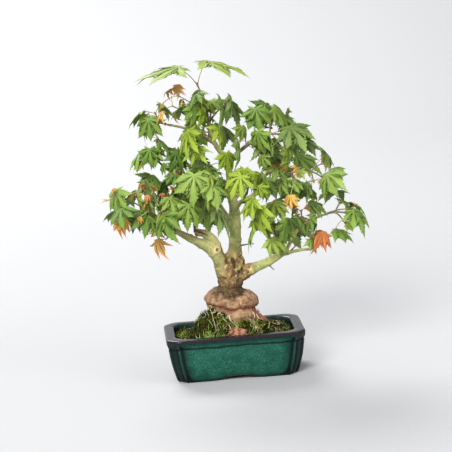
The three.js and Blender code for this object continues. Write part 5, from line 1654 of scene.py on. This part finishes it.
def make_leaf_skin(name, deep, fresh, vein, under, blush=None):
    """A leaf's skin: two greens in soft clouds and by the leaf's own tone, paler veins in a herringbone,
    a pale underside, and light that comes through. Young leaves blush toward their tips."""
    skin = Finish(name, 0.5, IOR=1.38)
    tone = skin.calculate("MULTIPLY_ADD", "tone", 0.5, 0.5)
    clouds = skin.calculate("MULTIPLY_ADD", (11, 0.3, 0.7), 0.5, -0.25)
    coats = [(skin.calculate("ADD", tone, clouds, clamp=True), fresh)]
    if blush:
        coats += [(skin.eased("along_lobe", 0.35, 0.95), blush), ("red", RED, 0.75)]
    aslant = skin.calculate("MULTIPLY", "beside_vein", 17.0)
    slanted = skin.calculate("SUBTRACT", skin.calculate("MULTIPLY", "along_lobe", 15.0), aslant)
    ribs = skin.eased(skin.calculate("PINGPONG", slanted, 0.5), 0.0, 0.11, 0.5, 0.0)
    veins = skin.calculate("MAXIMUM", skin.eased("beside_vein", 0.004, 0.013, 1.0, 0.0), ribs)
    coats += [(veins, vein, 0.16), (skin.eased("upper_side", -0.2, -0.9), under, 0.7)]
    blade = skin.layers(deep, *coats)
    skin.paint(blade)
    skin.emboss(skin.calculate("SUBTRACT", 1.0, veins), 0.10, 0.4)
    through = skin.node("ShaderNodeBsdfTranslucent", Color=skin.layers(blade, (0.5, fresh)))
    surfaces = skin.shader.outputs[0], through.outputs[0]
    both = skin.node("ShaderNodeMixShader", BLADE_GLOW, *surfaces)
    feed(skin.tree, skin.tree.nodes["Material Output"].inputs["Surface"], both.outputs[0])
    return skin


# Young leaves on some shoots have turned red.
RED = (0.6, 0.13, 0.05)
RED_SHOOTS = {"right_low_tip": 1.0, "top_young": 0.6, "left_dense": 1.0, "left_middle": 0.6}
# Each tint's slot, then its deep and fresh colours, and those of its veins, its underside and its blush.
LEAF_SKINS = {
    "mid": ("leaf_green", (0.12, 0.225, 0.029), (0.285, 0.42, 0.073), (0.46, 0.56, 0.18), (0.26, 0.36, 0.13)),
    "fresh": ("leaf_green", (0.12, 0.225, 0.031), (0.28, 0.405, 0.078), (0.52, 0.62, 0.2), (0.29, 0.4, 0.13)),
    "spring": ("leaf_green", (0.15, 0.23, 0.03), (0.315, 0.41, 0.066), (0.5, 0.56, 0.16), (0.3, 0.37, 0.1)),
    "light": ("leaf_light", (0.205, 0.325, 0.02), (0.37, 0.475, 0.05), (0.54, 0.62, 0.16), (0.34, 0.45, 0.1)),
    "dark": ("leaf_dark", (0.09, 0.18, 0.027), (0.23, 0.355, 0.062), (0.34, 0.46, 0.12), (0.19, 0.3, 0.1)),
    "bronze": (
        "leaf_bronze",
        (0.48, 0.33, 0.04),
        (0.72, 0.44, 0.09),
        (0.8, 0.6, 0.24),
        (0.66, 0.4, 0.15),
        (0.7, 0.24, 0.065),
    ),
}


def add_leaves(tint, seed):
    """All blades of one tint as one piece, each with its own tone."""
    own = [leaf for leaf in leaves if leaf["tint"] == tint]
    draws = np.random.default_rng(seed)
    points, s, w, above = blade_points(own, draws, float(tint == "bronze"))
    reds = [RED_SHOOTS.get(leaf["mass"], 0.0) for leaf in own]
    values = {
        "along_lobe": with_middles(s, 0, 0),
        "beside_vein": with_middles(w, 0, 0),
        "upper_side": with_middles(above, -1, 1),
        "tone": np.repeat(draws.uniform(-1, 1, len(own)), points.shape[1]),
        "red": np.repeat(reds, points.shape[1]),
    }
    slot_name, *colours = LEAF_SKINS[tint]
    skin = make_leaf_skin(f"{tint}_leaf_skin", *colours)
    piece = make_piece(f"{tint}_leaves", *many(points, *s.shape[1:]), skin, values)
    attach(piece, "root")
    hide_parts(*sorted({leaf["mass"] for leaf in own}))


for seed, tint in enumerate(LEAF_SKINS):
    add_leaves(tint, 200 + seed)


# Studio
# A pale floor and a pale wall with one soft light high at the left front, a weaker one at the right, and
# a bright even sky. The camera looks down on the pot by ten degrees and is tipped a little, as the photo is.
VIEW_AZIMUTH, VIEW_ELEVATION, VIEW_ROLL = -3.6, 10.0, 3.8
VIEW_DISTANCE, VIEW_LENS = 1746.0, 143.4
AIM_RIGHT, AIM_UP = -0.67, 140.8
FLOOR_SIZE = 6.0


def camera_axes():
    """The camera's right, up and back directions for its azimuth and elevation, before it is tipped."""
    turn, rise = np.radians(VIEW_AZIMUTH), np.radians(VIEW_ELEVATION)
    back = np.array([np.sin(turn) * np.cos(rise), -np.cos(turn) * np.cos(rise), np.sin(rise)])
    right = np.array([np.cos(turn), np.sin(turn), 0.0])
    return right, np.cross(back, right), back


def stand(name, data, right, up, back, place):
    """An object that looks away from its back direction, from a place in metres."""
    matrix = np.eye(4)
    matrix[:3] = np.column_stack([right, up, back, place])
    thing = bpy.data.objects.new(name, data)
    thing.matrix_world = Matrix(matrix.tolist())
    bpy.context.scene.collection.objects.link(thing)
    return thing


def place_camera():
    """The camera stands back from the point that it aims at, and is tipped about its own axis."""
    right, up, back = camera_axes()
    place = to_scene(right * AIM_RIGHT + up * AIM_UP + back * VIEW_DISTANCE)
    roll = np.radians(VIEW_ROLL)
    lens = bpy.data.cameras.new("camera")
    lens.lens, lens.sensor_width = VIEW_LENS, 36.0
    tipped = right * np.cos(roll) - up * np.sin(roll), right * np.sin(roll) + up * np.cos(roll)
    bpy.context.scene.camera = stand("camera", lens, *tipped, back, place)


place_camera()


def add_area_light(name, place, size, power, colour, aim=(0, 0, 0.15)):
    """A square soft light that looks at the plant, or at another place."""
    lamp = bpy.data.lights.new(name, "AREA")
    lamp.size, lamp.energy, lamp.color = size, power, colour
    back = unit(np.array(place) - np.array(aim))
    side = unit(np.cross([0, 0, 1], back))
    stand(name, lamp, side, np.cross(back, side), back, place)


add_area_light("key_light", (-1.9, -4.2, 3.0), 2.4, 535, (1.0, 0.985, 0.96))
add_area_light("fill_light", (1.1, -0.8, 0.7), 0.9, 13, (0.97, 0.98, 1.0))
add_area_light("back_light", (-0.9, 2.2, 2.1), 1.7, 170, (1.0, 1.0, 1.0))
add_area_light("wall_light", (-0.5, 0.9, 2.4), 2.0, 10, (0.97, 0.985, 1.0), (0, 2.6, 0.5))

bpy.context.scene.view_settings.view_transform = "Standard"
sky = bpy.data.worlds.new("pale_sky")
sky.use_nodes = True
background = sky.node_tree.nodes["Background"].inputs
background["Color"].default_value, background["Strength"].default_value = (0.95, 0.965, 1.0, 1), 0.66
bpy.context.scene.world = sky


def make_backdrop():
    """A floor that curves up into a wall behind the plant: a profile of a flat, a quarter arc and an
    upright, carried sideways."""
    turn = np.linspace(0, np.pi / 2, 16)
    arc = np.column_stack([1.6 + np.sin(turn), 1.0 - np.cos(turn)])
    profile = np.concatenate([[[-FLOOR_SIZE, 0.0]], arc, [[2.6, FLOOR_SIZE]]])
    points = [[x, y, z] for y, z in profile.tolist() for x in (-FLOOR_SIZE, FLOOR_SIZE)]
    rows = np.arange(len(profile) - 1) * 2
    mesh = bpy.data.meshes.new("backdrop")
    mesh.from_pydata(points, [], np.stack([rows, rows + 1, rows + 3, rows + 2], -1).tolist())
    mesh.shade_smooth()
    mesh.materials.append(make_finish("backdrop_paper", 0.9, (0.295, 0.297, 0.304)).material)
    backdrop = bpy.data.objects.new("backdrop", mesh)
    bpy.context.scene.collection.objects.link(backdrop)


make_backdrop()
